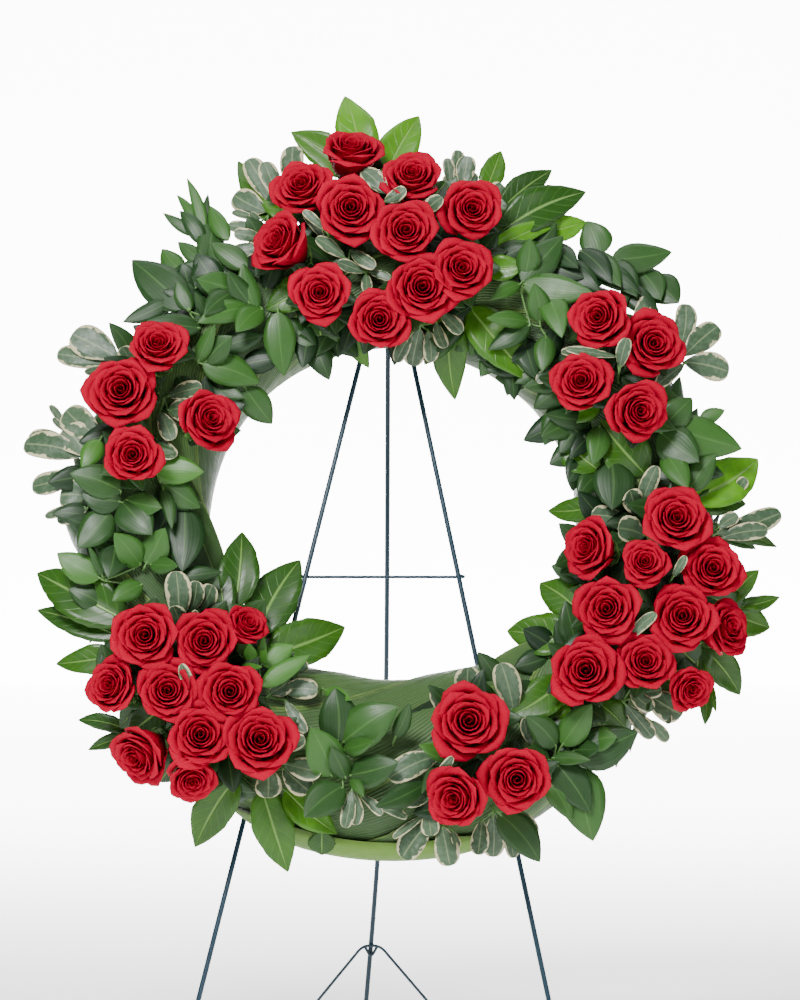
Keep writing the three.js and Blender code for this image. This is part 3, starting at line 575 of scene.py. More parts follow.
# each head: x, y, diameter, lean right, lean up
rose_bunches = {
    "roses_top_left": [(352, 152, 64, 0.1, 1.0), (303, 188, 62, -0.3, 0.3),
                       (351, 209, 68, 0, 0)],
    "roses_top_right": [(413, 178, 62, 0, 0.5), (472, 210, 62, 0.2, 0), (406, 232, 66, 0, 0)],
    "roses_top_far_left": [(280, 243, 64, -0.8, 0.3), (320, 294, 60, 0, 0)],
    "roses_top_lower": [(379, 320, 60, 0, -0.2), (422, 288, 68, 0, 0),
                        (461, 270, 62, 0.2, 0)],
    "roses_shoulder": [(600, 318, 62, -0.3, 0), (653, 345, 64, 0.2, 0), (582, 383, 62, -0.2, 0),
                       (638, 411, 60, 0.3, -0.3)],
    "roses_right_upper": [(676, 520, 68, 0.1, 0), (590, 548, 60, -0.9, 0), (645, 563, 48, 0, 0),
                          (712, 570, 62, 0.2, 0)],
    "roses_right_middle": [(608, 610, 64, -0.2, 0), (683, 618, 66, 0, 0),
                           (726, 628, 58, 0.8, 0)],
    "roses_right_lower": [(586, 671, 70, -0.1, 0), (645, 663, 58, 0, 0),
                          (690, 688, 46, 0.5, -0.6)],
    "roses_bottom": [(469, 722, 74, 0, 0), (517, 779, 66, 0, -0.2), (457, 798, 62, -0.5, -0.3)],
    "roses_left_upper": [(146, 636, 66, -0.1, 0), (205, 642, 62, 0, 0),
                         (246, 626, 46, 0.5, 0.4)],
    "roses_left_outer": [(112, 687, 56, -0.5, 0), (168, 692, 62, 0, 0),
                         (140, 755, 62, -0.9, -1.1)],
    "roses_left_lower": [(230, 692, 62, 0.1, 0), (200, 736, 64, 0, 0), (260, 741, 70, 0, 0),
                         (192, 778, 50, 0.1, -0.9)],
    "roses_shoulder_left": [(158, 347, 60, 0, 0.35), (122, 391, 72, -0.1, 0),
                            (208, 420, 62, 0.5, 0), (133, 456, 58, 0, 0)],
}
rose_seed = Random(11)
petal_count, sepal_count = 25, 5
golden_turn = radians(137.5)
ring_x, ring_y = 393, 520
for bunch, heads in rose_bunches.items():
    petals, greens, stem_lines = [], [], []
    for x, y, diameter, right, up in heads:
        radius = diameter / 2
        axis = Vector((right + rose_seed.uniform(-0.1, 0.1), up + rose_seed.uniform(-0.1, 0.1), 1))
        axis.normalize()
        away = hypot(x - ring_x, y - ring_y) - foliage_radius
        centre = seen_at(x, y, 136 - 0.0035 * away ** 2)
        foot = centre - axis * 36 * (radius / usual_radius)
        first = rose_seed.uniform(0, tau)
        for i in range(petal_count):
            openness = 1.12 * i / (petal_count - 1)
            turn = first + i * golden_turn + rose_seed.uniform(-0.12, 0.12)
            petal = grid("petal", 6, 8)
            # painted shade: the inner petals get a low tone that darkens the heart, with a random
            # spread
            shape(petal, rose_petal_surface(foot, axis, radius, openness, turn, rose_seed),
                  0.25 + 0.45 * openness + rose_seed.uniform(-0.15, 0.25))
            petals.append(petal)
        for i in range(sepal_count):
            sepal = grid("sepal", 2, 4)
            shape(sepal, sepal_surface(foot, axis, radius, first + i * tau / sepal_count))
            greens.append(sepal)
        root = root_under(foot, 40)
        below = foot - axis * 12
        middle = (below + root) / 2 + Vector((0, 0, -2))
        stem_lines.append([on_ring(*p) for p in (foot + axis * 2, foot, below, middle, root)])
    blooms = joined(bunch + "_petals", petals, 0.0004)
    paint(blooms, velvet)
    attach(blooms, "front_frame")
    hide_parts(bunch)
    stems = tube("stems", [bowed(line, 4) for line in stem_lines], 2.3, 2)
    calyx = joined(bunch + "_stems", [stems, joined("sepals", greens, 0.0006)])
    paint(calyx, stem_green)
    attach(calyx, "front_frame")


# Foliage: three kinds of leafy stem pushed in among the roses. Smooth pointed leaves with fine
# long veins, broad glossy leaves with a toothed edge, and small grey-green leaves edged cream.
# The last row, the sprigs between the roses, is too small for the solids and is only here.
outlines = {"ruscus": (0.62, 0.94), "aralia": (0.6, 0.95),
            "pittosporum": (0.75, 0.42), "strap": (0.3, 0.45)}
lifts = {"ruscus": 14, "aralia": 4, "pittosporum": 9}
arches = {"ruscus": 0.06, "aralia": 0.06, "pittosporum": 0.03, "strap": 0.02}
folds = {"ruscus": -0.10, "aralia": 0.16, "pittosporum": 0.05, "strap": -0.08}
ripples = {"ruscus": 0.03, "aralia": 0.06, "pittosporum": 0.10, "strap": 0.03}
hole_radius = 182
leaf_seed = Random(3)


def leaf_surface(kind, base, tip, width, seed):
    """A blade from base to tip, arched, folded a little along its rib and waved at its edge."""
    rise, fall = outlines[kind]
    widest = (rise / (rise + fall)) ** rise * (fall / (rise + fall)) ** fall
    along = tip - base
    length = along.length
    along.normalize()
    right = along.cross(Vector((0, 0, 1))).normalized()
    over = right.cross(along)
    arch = arches[kind] * seed.uniform(0.3, 1.6)
    fold = folds[kind] * seed.uniform(0.6, 1.6)
    sway = seed.uniform(-0.05, 0.05) * length
    twist = seed.uniform(-0.18, 0.18)
    wave, waves = seed.uniform(0, tau), seed.uniform(5, 9)
    ripple = ripples[kind] * width
    teeth = max(5, round(length / 5)) if kind == "aralia" else 0

    def surface(a, t):
        t = 0.5 - 0.5 * cos(pi * t)
        half = 0.5 * width * (t ** rise * (1 - t) ** fall / widest if 0 < t < 1 else 0) + 0.15
        if teeth and 0.12 < t < 0.96:
            half *= 1 - 0.07 * ((t * teeth) % 1) * abs(a) ** 3
        place = base + along * (t * length) + over * (arch * length * 4 * t * (1 - t))
        place += right * sway * sin(pi * t)
        side = a * half
        rippled = ripple * sin(waves * t + wave + a) * a * a * sin(pi * t)
        place += right * side
        place += over * (fold * abs(side) + twist * side * t + rippled)
        low = ground(place.x, place.y) + 1.2
        if place.z < low and hypot(place.x, place.y) > hole_radius:
            place.z = low
        return on_ring(*place)

    return surface


def veined(name, roughness, **fixed):
    """A leaf's finish and its map, with across from -1 to 1 and its rib at 0."""
    material, shader, place = finish(name, roughness, **fixed)
    tone, across, along = blade_map(place)
    return material, shader, place, tone, (across - 0.5) * 2, along


smooth_leaf, shader, place, tone, across, along = veined("smooth pointed leaf", 0.4,
                                                          Specular_IOR_Level=0.3)
veins = ((across + grain(place, 40) * 0.05) * 34).wave() * 0.5 + 0.5
body = tone.blend((0.004, 0.017, 0.006, 1), (0.050, 0.158, 0.020, 1))
colour = (veins * 0.05).blend(body, (0.06, 0.15, 0.04, 1))
colour = ((1 - across.size().eased(0.0, 0.10)) * 0.30).blend(colour, (0.09, 0.20, 0.05, 1))
colour = (along.eased(0.95, 1.0) * 0.6).blend(colour, (0.40, 0.42, 0.20, 1))
connect(shader, height=veins, depth=0.00004, Base_Color=colour,
        Roughness=grain(place, 120) * 0.2 + 0.30)

glossy_leaf, shader, place, tone, across, along = veined("broad glossy leaf", 0.3,
                                                         Specular_IOR_Level=0.32)
side_vein = ((along - across.size() * 0.16) * 11).part()
vein = (side_vein - 0.5).size().eased(0.44, 0.5)
rib = 1 - across.size().eased(0.02, 0.09)
body = tone.blend((0.006, 0.030, 0.004, 1), (0.080, 0.250, 0.005, 1))
colour = (grain(place, 70).eased(0.35, 0.8) * 0.4).blend(body, (0.012, 0.055, 0.008, 1))
colour = (vein * 0.3).blend(colour, (0.11, 0.26, 0.04, 1))
colour = (rib * 0.70).blend(colour, (0.17, 0.32, 0.07, 1))
connect(shader, height=1 - vein * 0.2 - rib, depth=0.0006, Base_Color=colour,
        Roughness=grain(place, 140) * 0.2 + 0.24)

variegated_leaf, shader, place, tone, across, along = veined("cream-edged leaf", 0.42,
                                                              Specular_IOR_Level=0.35)
inward = 1 - across.size()
uneven = grain(place, 130, 3.0) - 0.5
margin = 1 - (inward + uneven * 0.9 - (along - 0.6) * 0.3).eased(0.15, 0.23)
body = tone.blend((0.022, 0.052, 0.022, 1), (0.080, 0.140, 0.075, 1))
colour = (grain(place, 220, 4.0).eased(0.45, 0.6) * 0.25).blend(body, (0.12, 0.18, 0.11, 1))
colour = margin.blend(colour, (0.50, 0.47, 0.28, 1))
colour = ((1 - across.size().eased(0.03, 0.09)) * 0.45).blend(colour, (0.24, 0.30, 0.15, 1))
connect(shader, height=grain(place, 260), depth=0.0004, Base_Color=colour,
        Roughness=grain(place, 150) * 0.2 + 0.32)

leaf_finishes = {"ruscus": (smooth_leaf, "smooth_leaf"), "aralia": (glossy_leaf, "glossy_leaf"),
                 "pittosporum": (variegated_leaf, "variegated_leaf")}

# each stem: node, kind, lift, rise of the tips, then base x, base y, tip x, tip y, width, and
# a tone from 0 dark to 1 bright where the leaf differs from its neighbours; the darkest, near 0,
# are leaves set in shaded gaps between the roses, their darkness painted shade
leafy_stems = [
    ("ruscus_shoulder_near", "ruscus", 4, 20, [
        (522, 282, 563, 236, 34), (524, 284, 592, 292, 34), (525, 275, 530, 238, 24),
        (530, 324, 488, 350, 22), (540, 322, 534, 283, 24), (545, 292, 562, 338, 28),
        (546, 336, 542, 372, 22), (520, 284, 491, 300, 16), (528, 322, 486, 318, 18)]),
    ("ruscus_shoulder_far", "ruscus", 0, 12, [
        (600, 255, 587, 221, 34), (612, 260, 672, 252, 32), (615, 260, 637, 297, 30),
        (640, 270, 661, 300, 30), (650, 278, 679, 303, 36), (596, 252, 621, 287, 24),
        # painted shade: these dark leaves fill a shaded gap behind the shoulder roses
        (566, 262, 600, 292, 26, 0.1), (580, 250, 612, 284, 26, 0.05),
        (592, 268, 640, 294, 26, 0.1), (604, 262, 582, 300, 24, 0.05),
        (622, 288, 660, 318, 26, 0.1), (552, 246, 578, 268, 24, 0.1),
        (538, 258, 584, 278, 32, 0.05)]),
    ("ruscus_top_left", "ruscus", 0, 6, [
        (206, 264, 214, 211, 27), (182, 272, 162, 249, 22), (204, 264, 178, 242, 18),
        (206, 264, 172, 272, 14), (220, 275, 210, 243, 15), (204, 238, 187, 178, 13),
        (203, 235, 177, 195, 12), (202, 236, 163, 213, 13), (203, 244, 180, 211, 18),
        (206, 226, 208, 194, 8), (228, 240, 210, 206, 18), (216, 286, 196, 254, 30, 0.05),
        (196, 288, 214, 256, 26, 0.1)]),
    ("ruscus_left_shoulder", "ruscus", 4, 14, [
        (186, 308, 132, 260, 44), (168, 302, 123, 322, 20), (200, 328, 147, 321, 24),
        (190, 310, 177, 281, 18), (206, 316, 195, 292, 12), (234, 290, 197, 279, 28),
        (247, 268, 211, 243, 24), (250, 308, 197, 323, 24), (234, 292, 204, 315, 24),
        (256, 310, 243, 263, 22), (250, 304, 228, 271, 22), (262, 308, 236, 332, 26)]),
    ("ruscus_left_inner", "ruscus", 4, 14, [
        (203, 364, 260, 383, 34), (205, 362, 232, 336, 28), (198, 362, 215, 325, 16),
        (245, 388, 272, 424, 30), (278, 312, 284, 376, 32)]),
    ("ruscus_left", "ruscus", 4, 16, [
        (100, 440, 82, 470, 22, 0.9), (110, 512, 78, 548, 34), (121, 491, 70, 473, 34),
        (121, 502, 81, 494, 30), (122, 502, 152, 535, 38), (126, 500, 162, 508, 28),
        (163, 482, 200, 508, 28), (163, 488, 172, 529, 14), (155, 470, 204, 472, 30, 0.85),
        (185, 508, 182, 572, 40, 0.1), (178, 578, 222, 572, 18)]),
    ("ruscus_left_bright", "ruscus", 0, 20, [
        (100, 578, 57, 553, 30, 0.75), (115, 545, 108, 578, 30, 0.15),
        (140, 565, 114, 533, 28, 0.6), (142, 584, 112, 601, 22, 0.6),
        (146, 564, 165, 528, 30, 0.55), (150, 564, 178, 566, 18),
        (103, 577, 88, 545, 8)]),
    ("ruscus_shoots", "ruscus", 16, 22, [
        (262, 664, 293, 645, 26, 1.0), (262, 686, 310, 655, 20, 0.9),
        (252, 664, 249, 643, 14, 0.95), (258, 662, 264, 636, 10, 0.9),
        (258, 662, 266, 650, 12, 1.0), (240, 668, 262, 667, 10, 0.9),
        (240, 655, 243, 632, 10, 0.8)]),
    ("ruscus_bottom_left", "ruscus", 8, 26, [
        (338, 742, 335, 688, 40), (343, 742, 398, 706, 44), (343, 750, 374, 741, 18),
        (346, 778, 331, 747, 22), (332, 776, 311, 727, 38), (343, 786, 304, 817, 36),
        (350, 775, 399, 762, 34), (352, 778, 364, 797, 12), (425, 784, 375, 807, 24),
        (457, 757, 419, 745, 20, 0.8), (437, 768, 422, 793, 14), (395, 738, 410, 703, 16),
        (325, 690, 351, 700, 14, 0.9)]),
    ("ruscus_bottom_right", "ruscus", 8, 24, [
        (500, 814, 540, 862, 34), (550, 760, 520, 755, 32), (552, 758, 590, 760, 14),
        (556, 746, 526, 716, 28), (548, 780, 571, 820, 24), (557, 764, 590, 812, 34),
        (562, 745, 592, 704, 30), (572, 755, 638, 732, 44), (575, 750, 600, 749, 20),
        (580, 768, 593, 841, 46), (590, 742, 617, 737, 26)]),
    ("ruscus_right_upper", "ruscus", 6, 18, [
        (612, 462, 612, 510, 42, 0.15), (600, 426, 593, 465, 24), (668, 426, 742, 449, 42),
        (664, 426, 692, 398, 30), (660, 432, 699, 462, 40), (665, 452, 688, 489, 26),
        (690, 490, 716, 454, 26), (700, 422, 725, 410, 16)]),
    ("pittosporum_bottom", "pittosporum", 8, 14, [
        (440, 755, 389, 778, 26), (430, 822, 402, 858, 26), (442, 826, 450, 866, 24),
        (493, 815, 493, 857, 22), (430, 798, 403, 803, 11), (425, 815, 393, 838, 8),
        (428, 812, 431, 836, 18), (452, 830, 459, 847, 8), (482, 820, 478, 855, 18),
        (505, 820, 514, 858, 14), (522, 812, 534, 836, 18), (352, 790, 345, 828, 14),
        (352, 790, 356, 825, 16), (360, 795, 382, 815, 10), (375, 806, 407, 818, 9)]),
    ("pittosporum_bottom_near", "pittosporum", 2, 30, [
        (470, 702, 468, 667, 26), (447, 716, 434, 688, 16), (514, 714, 501, 663, 26),
        (532, 745, 524, 718, 10)]),
    ("pittosporum_left_lower", "pittosporum", 6, 26, [
        (178, 622, 176, 571, 26), (190, 612, 197, 581, 18), (200, 610, 212, 585, 20),
        (180, 628, 173, 606, 18), (190, 625, 198, 612, 12)]),
    ("pittosporum_shoulder", "pittosporum", 8, 10, [
        (680, 348, 686, 304, 22), (684, 356, 718, 326, 26), (684, 362, 729, 372, 28),
        (684, 364, 656, 386, 14), (630, 336, 646, 297, 15), (600, 348, 561, 352, 10),
        (625, 368, 622, 341, 13), (556, 368, 537, 382, 12)]),
    ("pittosporum_right", "pittosporum", 0, 20, [
        (626, 521, 591, 515, 22), (640, 515, 630, 490, 22), (645, 536, 618, 528, 28),
        (716, 534, 781, 513, 24), (640, 512, 657, 466, 17), (720, 538, 768, 530, 18),
        (718, 528, 738, 515, 14), (735, 492, 746, 478, 12)]),
    ("pittosporum_right_lower", "pittosporum", 6, 12, [
        (625, 704, 653, 738, 17), (630, 690, 653, 710, 17), (645, 692, 682, 715, 30),
        (650, 720, 668, 741, 13), (640, 694, 662, 690, 14), (665, 705, 669, 724, 8)]),
    ("pittosporum_left_near", "pittosporum", 0, 22, [
        (115, 361, 57, 354, 24), (118, 358, 72, 334, 34), (108, 366, 85, 373, 10),
        (130, 362, 122, 347, 16), (168, 396, 202, 387, 18), (168, 410, 193, 412, 24),
        (160, 412, 172, 440, 18), (158, 440, 174, 458, 18)]),
    ("pittosporum_left", "pittosporum", 0, 6, [
        (100, 437, 66, 410, 32), (88, 456, 66, 427, 32), (84, 456, 24, 444, 28),
        (85, 476, 32, 487, 24), (86, 496, 60, 495, 30), (66, 440, 28, 440, 20),
        (66, 432, 50, 405, 8), (66, 432, 53, 418, 6), (82, 500, 45, 517, 10),
        (88, 508, 57, 520, 16)]),
    ("pittosporum_top_left", "pittosporum", 4, 6, [
        (266, 212, 234, 195, 26), (275, 205, 248, 159, 24), (278, 200, 264, 162, 20),
        (292, 192, 293, 146, 24), (262, 232, 228, 225, 14), (262, 238, 234, 233, 14),
        (262, 246, 231, 254, 16), (260, 222, 232, 212, 8), (260, 222, 250, 213, 8)]),
    ("pittosporum_top_right", "pittosporum", -2, 8, [
        (384, 200, 372, 171, 22), (422, 218, 438, 199, 18), (462, 188, 468, 156, 20),
        (382, 200, 406, 193, 16), (455, 185, 458, 150, 15), (450, 185, 447, 158, 12),
        (455, 190, 448, 174, 16), (470, 188, 472, 172, 14), (488, 200, 502, 184, 16)]),
    ("pittosporum_top_lower", "pittosporum", 14, 12, [
        (420, 328, 412, 366, 22), (440, 312, 462, 333, 15), (436, 322, 445, 348, 13),
        (412, 332, 396, 362, 14), (428, 330, 431, 362, 16), (345, 258, 316, 238, 14),
        (365, 272, 338, 262, 12), (350, 250, 375, 268, 14), (366, 274, 367, 292, 11),
        (368, 272, 391, 279, 9), (325, 240, 304, 213, 9)]),
    ("pittosporum_bottom_left", "pittosporum", 4, 10, [
        (270, 694, 290, 680, 20), (282, 690, 318, 690, 22), (284, 764, 321, 773, 22),
        (283, 768, 310, 792, 24), (268, 768, 268, 798, 26), (298, 672, 304, 660, 14),
        (285, 700, 306, 733, 12), (278, 750, 305, 738, 16)]),
    ("aralia_top_right", "aralia", 4, 8, [
        (485, 192, 501, 151, 26), (502, 208, 552, 170, 30, 0.1), (500, 232, 586, 192, 44, 0.12),
        (496, 238, 524, 208, 22), (545, 234, 586, 222, 28, 1.0), (488, 252, 562, 220, 22, 0.8),
        (490, 262, 556, 250, 36, 0.1), (470, 196, 512, 214, 30, 0.05)]),
    ("aralia_top_bottom", "aralia", 2, 6, [
        (450, 308, 455, 400, 38), (470, 308, 532, 382, 46), (487, 269, 525, 266, 28)]),
    ("aralia_top_lower", "aralia", 2, 4, [
        (312, 285, 266, 310, 38, 0.3), (318, 318, 324, 370, 38), (345, 318, 369, 368, 24)]),
    ("aralia_top", "aralia", 0, 4, [
        (270, 222, 238, 161, 28), (296, 226, 253, 187, 28), (352, 176, 291, 132, 38, 0.5),
        (360, 170, 345, 96, 46, 0.95), (385, 176, 419, 116, 42, 0.8),
        # painted shade: these dark leaves fill the shaded gaps behind the top roses
        (345, 236, 290, 206, 36, 0.05), (380, 228, 408, 190, 36, 0.05),
        (410, 225, 448, 180, 36, 0.05), (418, 240, 444, 208, 32, 0.05),
        (300, 250, 330, 214, 30, 0.05)]),
    ("aralia_right_upper", "aralia", 2, 4, [
        (600, 506, 548, 511, 26), (598, 470, 558, 437, 38), (645, 474, 600, 420, 48),
        (600, 405, 562, 419, 26)]),
    ("aralia_right", "aralia", 0, 4, [
        (690, 502, 758, 459, 50, 1.0), (694, 506, 746, 504, 30), (712, 530, 777, 547, 20),
        (706, 526, 756, 549, 18, 0.1), (706, 650, 740, 695, 34), (728, 602, 759, 570, 24),
        (733, 608, 780, 597, 18), (736, 616, 770, 628, 34), (668, 668, 683, 692, 14),
        (668, 636, 706, 674, 38, 0.1), (686, 586, 722, 606, 32, 0.05),
        (744, 610, 700, 592, 32, 0.05), (700, 640, 696, 682, 30, 0.1),
        (704, 690, 705, 725, 14), (710, 684, 716, 712, 8)]),
    ("aralia_right_inner", "aralia", 0, 4, [
        (580, 612, 540, 583, 40), (572, 640, 507, 631, 46), (562, 682, 508, 717, 42),
        (575, 700, 535, 722, 24), (600, 704, 625, 728, 30)]),
    ("aralia_left_inner", "aralia", 0, 4, [
        (224, 612, 220, 566, 30, 0.1), (235, 608, 242, 532, 42, 0.15),
        (256, 634, 300, 560, 52, 0.15), (268, 656, 345, 627, 50, 0.3),
        (248, 656, 280, 622, 30, 0.1)]),
    ("aralia_left", "aralia", 0, 4, [
        (128, 622, 37, 573, 54, 0.2), (118, 636, 37, 610, 34, 0.15), (120, 655, 56, 664, 30, 0.3),
        (128, 730, 78, 720, 18, 0.1), (136, 736, 88, 750, 16, 0.1), (166, 706, 128, 736, 38, 0.05),
        (184, 750, 160, 782, 30, 0.05), (150, 700, 120, 728, 30, 0.1)]),
    ("aralia_bottom_left", "aralia", 0, 4, [
        (236, 778, 195, 847, 42, 0.3), (262, 790, 288, 872, 42, 0.35), (285, 790, 337, 834, 34),
        (322, 832, 322, 855, 28)]),
    ("sprigs_between_roses", "pittosporum", 40, 14, [
        (388, 194, 363, 170, 20), (384, 202, 406, 189, 14), (422, 216, 442, 197, 15),
        (324, 230, 303, 211, 9), (199, 700, 181, 664, 12), (673, 577, 686, 556, 9),
        (626, 642, 656, 613, 12), (436, 774, 453, 757, 9), (620, 368, 627, 338, 14),
        (618, 357, 566, 349, 9)]),
]
fan_reach = 42
for node, kind, up, rise, leaves in leafy_stems:
    blades, stem_lines, knots = [], [], []
    for i, (base_x, base_y, tip_x, tip_y, width, *tone_given) in enumerate(leaves):
        base = seen_on_ground(base_x, base_y, lifts[kind] + up)
        tip = seen_on_ground(tip_x, tip_y, lifts[kind] + up + rise + 5 * (i % 3 - 1))
        along = 22 if kind == "aralia" else 12
        across = 6 if width > 26 else 4
        blade = grid("blade", across, along)
        shade = tone_given[0] if tone_given else leaf_seed.uniform(0.15, 0.6)
        shape(blade, leaf_surface(kind, base, tip, width, leaf_seed), shade)
        blades.append(blade)
        into = (tip - base).normalized()
        stalk_end = base + into * 3
        near = min(knots, key=lambda knot: (knot - base).length, default=None)
        if near and (near - base).length < fan_reach:
            middle = (near + base) / 2 + Vector((0, 0, -3))
            stem_lines.append([stalk_end, base, middle, near])
        else:
            root = root_under(base, 40)
            sunk = base - into * 6 - Vector((0, 0, 3))
            stem_lines.append([stalk_end, base, sunk, (sunk + root) / 2, root])
            knots.append(base - into * 4 - Vector((0, 0, 2)))
    foliage = joined(node + "_leaves", blades, 0.0005)
    material, slot_name = leaf_finishes[kind]
    paint(foliage, material)
    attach(foliage, "front_frame")
    if node in frame["nodes"]:
        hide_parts(node)
    stalks = tube(node + "_stalks",
                  [[on_ring(*p) for p in bowed(line, 4)] for line in stem_lines], 1.0, 1)
    paint(stalks, stem_green)
    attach(stalks, "front_frame")

# Loose strap ends: a dark folded strip across the bottom of the wrap, a paler one beside the
# bottom roses, two long blades at the ring's inner left side that stand off the foam, and a
# lime green strap along the lower rim. The solids have the wrap alone.
loose_seed = Random(2)
loose = []
for base_x, base_y, tip_x, tip_y, width, shade in (
        (358, 768, 472, 690, 24, 0.0), (176, 474, 226, 588, 30, 0.3),
        (172, 500, 214, 592, 26, 0.1), (470, 700, 566, 640, 34, 0.75)):
    base = seen_on_ground(base_x, base_y, 1)
    tip = seen_on_ground(tip_x, tip_y, 1)
    blade = grid("blade", 6, 16)
    shape(blade, leaf_surface("strap", base, tip, width, loose_seed), shade)
    loose.append(blade)


def rim_surface(a, t):
    half_width = 0.085 * min(1, 5 * t, 5 - 5 * t)
    return round_section(radians(-120 + 52 * t), 0.08 + a * half_width, 7)


rim = grid("rim", 4, 24)
shape(rim, rim_surface, 1.0)
loose = joined("loose_straps", [*loose, rim], 0.0006)
paint(loose, strap_leaf)
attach(loose, "front_frame")

# Under leaves: short leaves pushed in low all round the ring, about each rose, along the top's
# inner edge and over the ring's sides, their dark tones painted shade. They hide the wrap and
# fill the gaps between the stems, but for the bottom of the ring and a stretch of its inner left
# side.
low_leaves, low_stalks = [], []
low_seed = Random(21)


def push_in(base, reach, width, brightest):
    """A low leaf from base along reach, its stalk in the foam, its tone drawn up to brightest."""
    blade = grid("blade", 4, 10)
    surface = leaf_surface("ruscus", base, base + reach, width, low_seed)
    # painted shade: the tone stays low, darkening the leaf as shade deep in the foliage
    shape(blade, surface, low_seed.uniform(0.0, brightest))
    low_leaves.append(blade)
    low_stalks.append([on_ring(*p) for p in (base + reach * 0.06, base, root_under(base, 55))])


def on_crest(turn, radius):
    """A place on the ground at this turn, a little above it."""
    return Vector((radius * cos(turn), radius * sin(turn), ground(radius, 0) + 3))


round_count = 190
inner_left = radians(184)
for i in range(round_count):
    turn = tau * (i + low_seed.uniform(-0.4, 0.4)) / round_count
    out = low_seed.uniform(-56, 48)
    length = low_seed.uniform(34, 50)
    bare_side = apart(turn, inner_left) < radians(26) and out < -20
    if apart(turn, bottom) < radians(26) or bare_side:
        continue
    heading = turn + (0 if out > 0 else pi) + low_seed.uniform(-1.1, 1.1)
    reach = Vector((cos(heading), sin(heading), low_seed.uniform(0.0, 0.35))) * length
    push_in(on_crest(turn, foliage_radius + out), reach, low_seed.uniform(20, 28), 0.25)

foliage_edge = 310
for heads in rose_bunches.values():
    middle = sum((seen_at(x, y, 90) for x, y, *_ in heads), Vector()) / len(heads)
    for x, y, diameter, *_ in heads:
        for spread in (-2.5, -1.2, 0.1, 1.3, 2.6):
            base = seen_on_ground(x, y, 12)
            heading = (middle - base).to_2d().angle_signed(Vector((1, 0)), 0) + spread
            reach = Vector((cos(heading), sin(heading), low_seed.uniform(0.2, 0.5)))
            reach *= diameter * low_seed.uniform(0.55, 0.75)
            if (base + reach).to_2d().length <= max(base.to_2d().length, foliage_edge):
                push_in(base, reach, low_seed.uniform(22, 28), 0.3)

top_count = 34
for i in range(top_count):
    turn = radians(14 + 108 * (i + low_seed.uniform(-0.4, 0.4)) / top_count)
    base = on_crest(turn, low_seed.uniform(200, 226))
    heading = turn + pi + low_seed.uniform(-0.7, 0.7)
    reach = Vector((cos(heading), sin(heading), low_seed.uniform(-0.15, 0.1)))
    reach *= low_seed.uniform(38, 52)
    push_in(base, reach, low_seed.uniform(22, 30), 0.4)

side_seed = Random(8)
side_count = 110
section_length = 190
for i in range(side_count):
    turn = tau * (i + side_seed.uniform(-0.4, 0.4)) / side_count
    section = side_seed.uniform(0.06, 0.30)
    heading = side_seed.choice((-1, 1)) * side_seed.uniform(0.0, 0.9) + (pi if i % 2 else 0)
    length, width = side_seed.uniform(44, 62), side_seed.uniform(24, 32)
    lift = side_seed.uniform(7, 11)
    if apart(turn, bottom) < radians(30):
        continue

    def lying(a, t):
        t = 0.5 - 0.5 * cos(pi * t)
        half = width * t ** 0.62 * (1 - t) ** 0.88 * 1.38 + 0.15
        forward, aside = length * t, a * half
        round_ring = forward * cos(heading) - aside * sin(heading)
        to_front = forward * sin(heading) + aside * cos(heading)
        raised = lift + 9 * t * t - 0.15 * abs(aside)
        return round_section(
            turn + round_ring / foliage_edge, section + to_front / section_length, raised)

    blade = grid("blade", 4, 10)
    # painted shade: the side leaves are given low tones as shade under the foliage
    shape(blade, lying, side_seed.uniform(0.0, 0.45))
    low_leaves.append(blade)
    low_stalks.append([lying(0, 0.06), lying(0, 0), round_section(turn, section, -12)])

under = joined("under_leaves", low_leaves, 0.0005)
under_stalks = tube("under_leaf_stalks", low_stalks, 1.0, 1)
paint(under, smooth_leaf)
paint(under_stalks, stem_green)
for piece in (under, under_stalks):
    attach(piece, "front_frame")

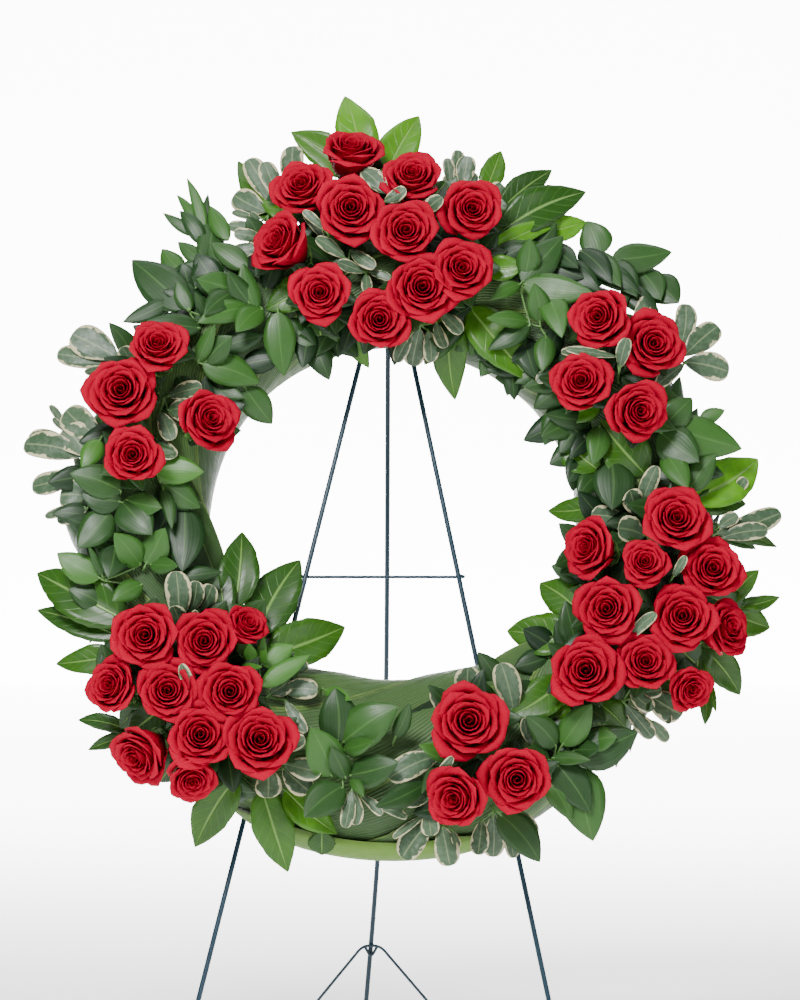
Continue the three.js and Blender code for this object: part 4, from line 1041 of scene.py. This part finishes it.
# The floor that the easel stands on, a bright wall far behind it, and the light: a soft key from
# the upper left, a weaker fill from the right, a wide lamp overhead, and the photograph's own
# long view from the front.
wall_brightness = 9.0
bpy.ops.mesh.primitive_plane_add(size=34, location=(0, -5, -0.0002))
room_floor = bpy.context.object
room_floor.name = "room_floor"
bpy.ops.object.transform_apply(location=True, rotation=True, scale=True)
# painted light: the floor glows, faintly near the easel and fully towards the wall, fading at its
# sides
pale, shader, place = finish("pale glowing floor", 0.9, Base_Color=(0.9, 0.9, 0.9, 1),
                             Emission_Strength=wall_brightness)
x = place.node("SeparateXYZ", {0: place})
y = place.node("SeparateXYZ", {0: place}, out=1)
glow = y.eased(-0.2, 5.0) * (1 - x.size().eased(1.6, 6.0))
connect(shader, Emission_Color=glow.blend((0.11, 0.11, 0.11, 1), (1, 1, 1, 1)))
paint(room_floor, pale)
bpy.ops.mesh.primitive_plane_add(size=16, location=(0, 12, 4), rotation=(pi / 2, 0, 0))
wall = bpy.context.object
wall.name = "bright_wall"
bpy.ops.object.transform_apply(location=True, rotation=True, scale=True)
bright, shader, place = finish("bright wall", 0.9, Emission_Strength=wall_brightness)
x = place.node("SeparateXYZ", {0: place})
z = place.node("SeparateXYZ", {0: place}, out=2) - 0.6
glow = 1 - (x * x + z * z).power(0.5).eased(1.6, 6.0)
connect(shader, Emission_Color=glow.blend((0.04, 0.04, 0.04, 1), (1, 1, 1, 1)))
paint(wall, bright)

world = bpy.data.worlds.new("pale room")
world.use_nodes = True
world.node_tree.nodes["Background"].inputs[0].default_value = (1, 1, 1, 1)
world.node_tree.nodes["Background"].inputs[1].default_value = 0.22
bpy.context.scene.world = world


def soft_light(name, place, size, power):
    """A square lamp turned to the middle of the wreath's height."""
    bpy.ops.object.light_add(type="AREA", location=place)
    lamp = bpy.context.object
    lamp.name = name
    lamp.data.size = size
    lamp.data.energy = power
    towards = Vector((0, 0, 0.5)) - Vector(place)
    lamp.rotation_euler = towards.to_track_quat("-Z", "Y").to_euler()


soft_light("key", (-1.0, -2.6, 2.6), 1.0, 175)
soft_light("fill", (2.4, -3.2, 1.2), 1.8, 34)
soft_light("overhead", (0, 0.6, 4.2), 3.0, 80)

bpy.ops.object.camera_add(
    location=ring_centre + Vector((eye_right, -eye_distance, eye_up)) / 1000,
    rotation=(pi / 2, 0, 0))
camera = bpy.context.object
camera.data.lens = 216
camera.data.sensor_width = 36
bpy.context.scene.camera = camera
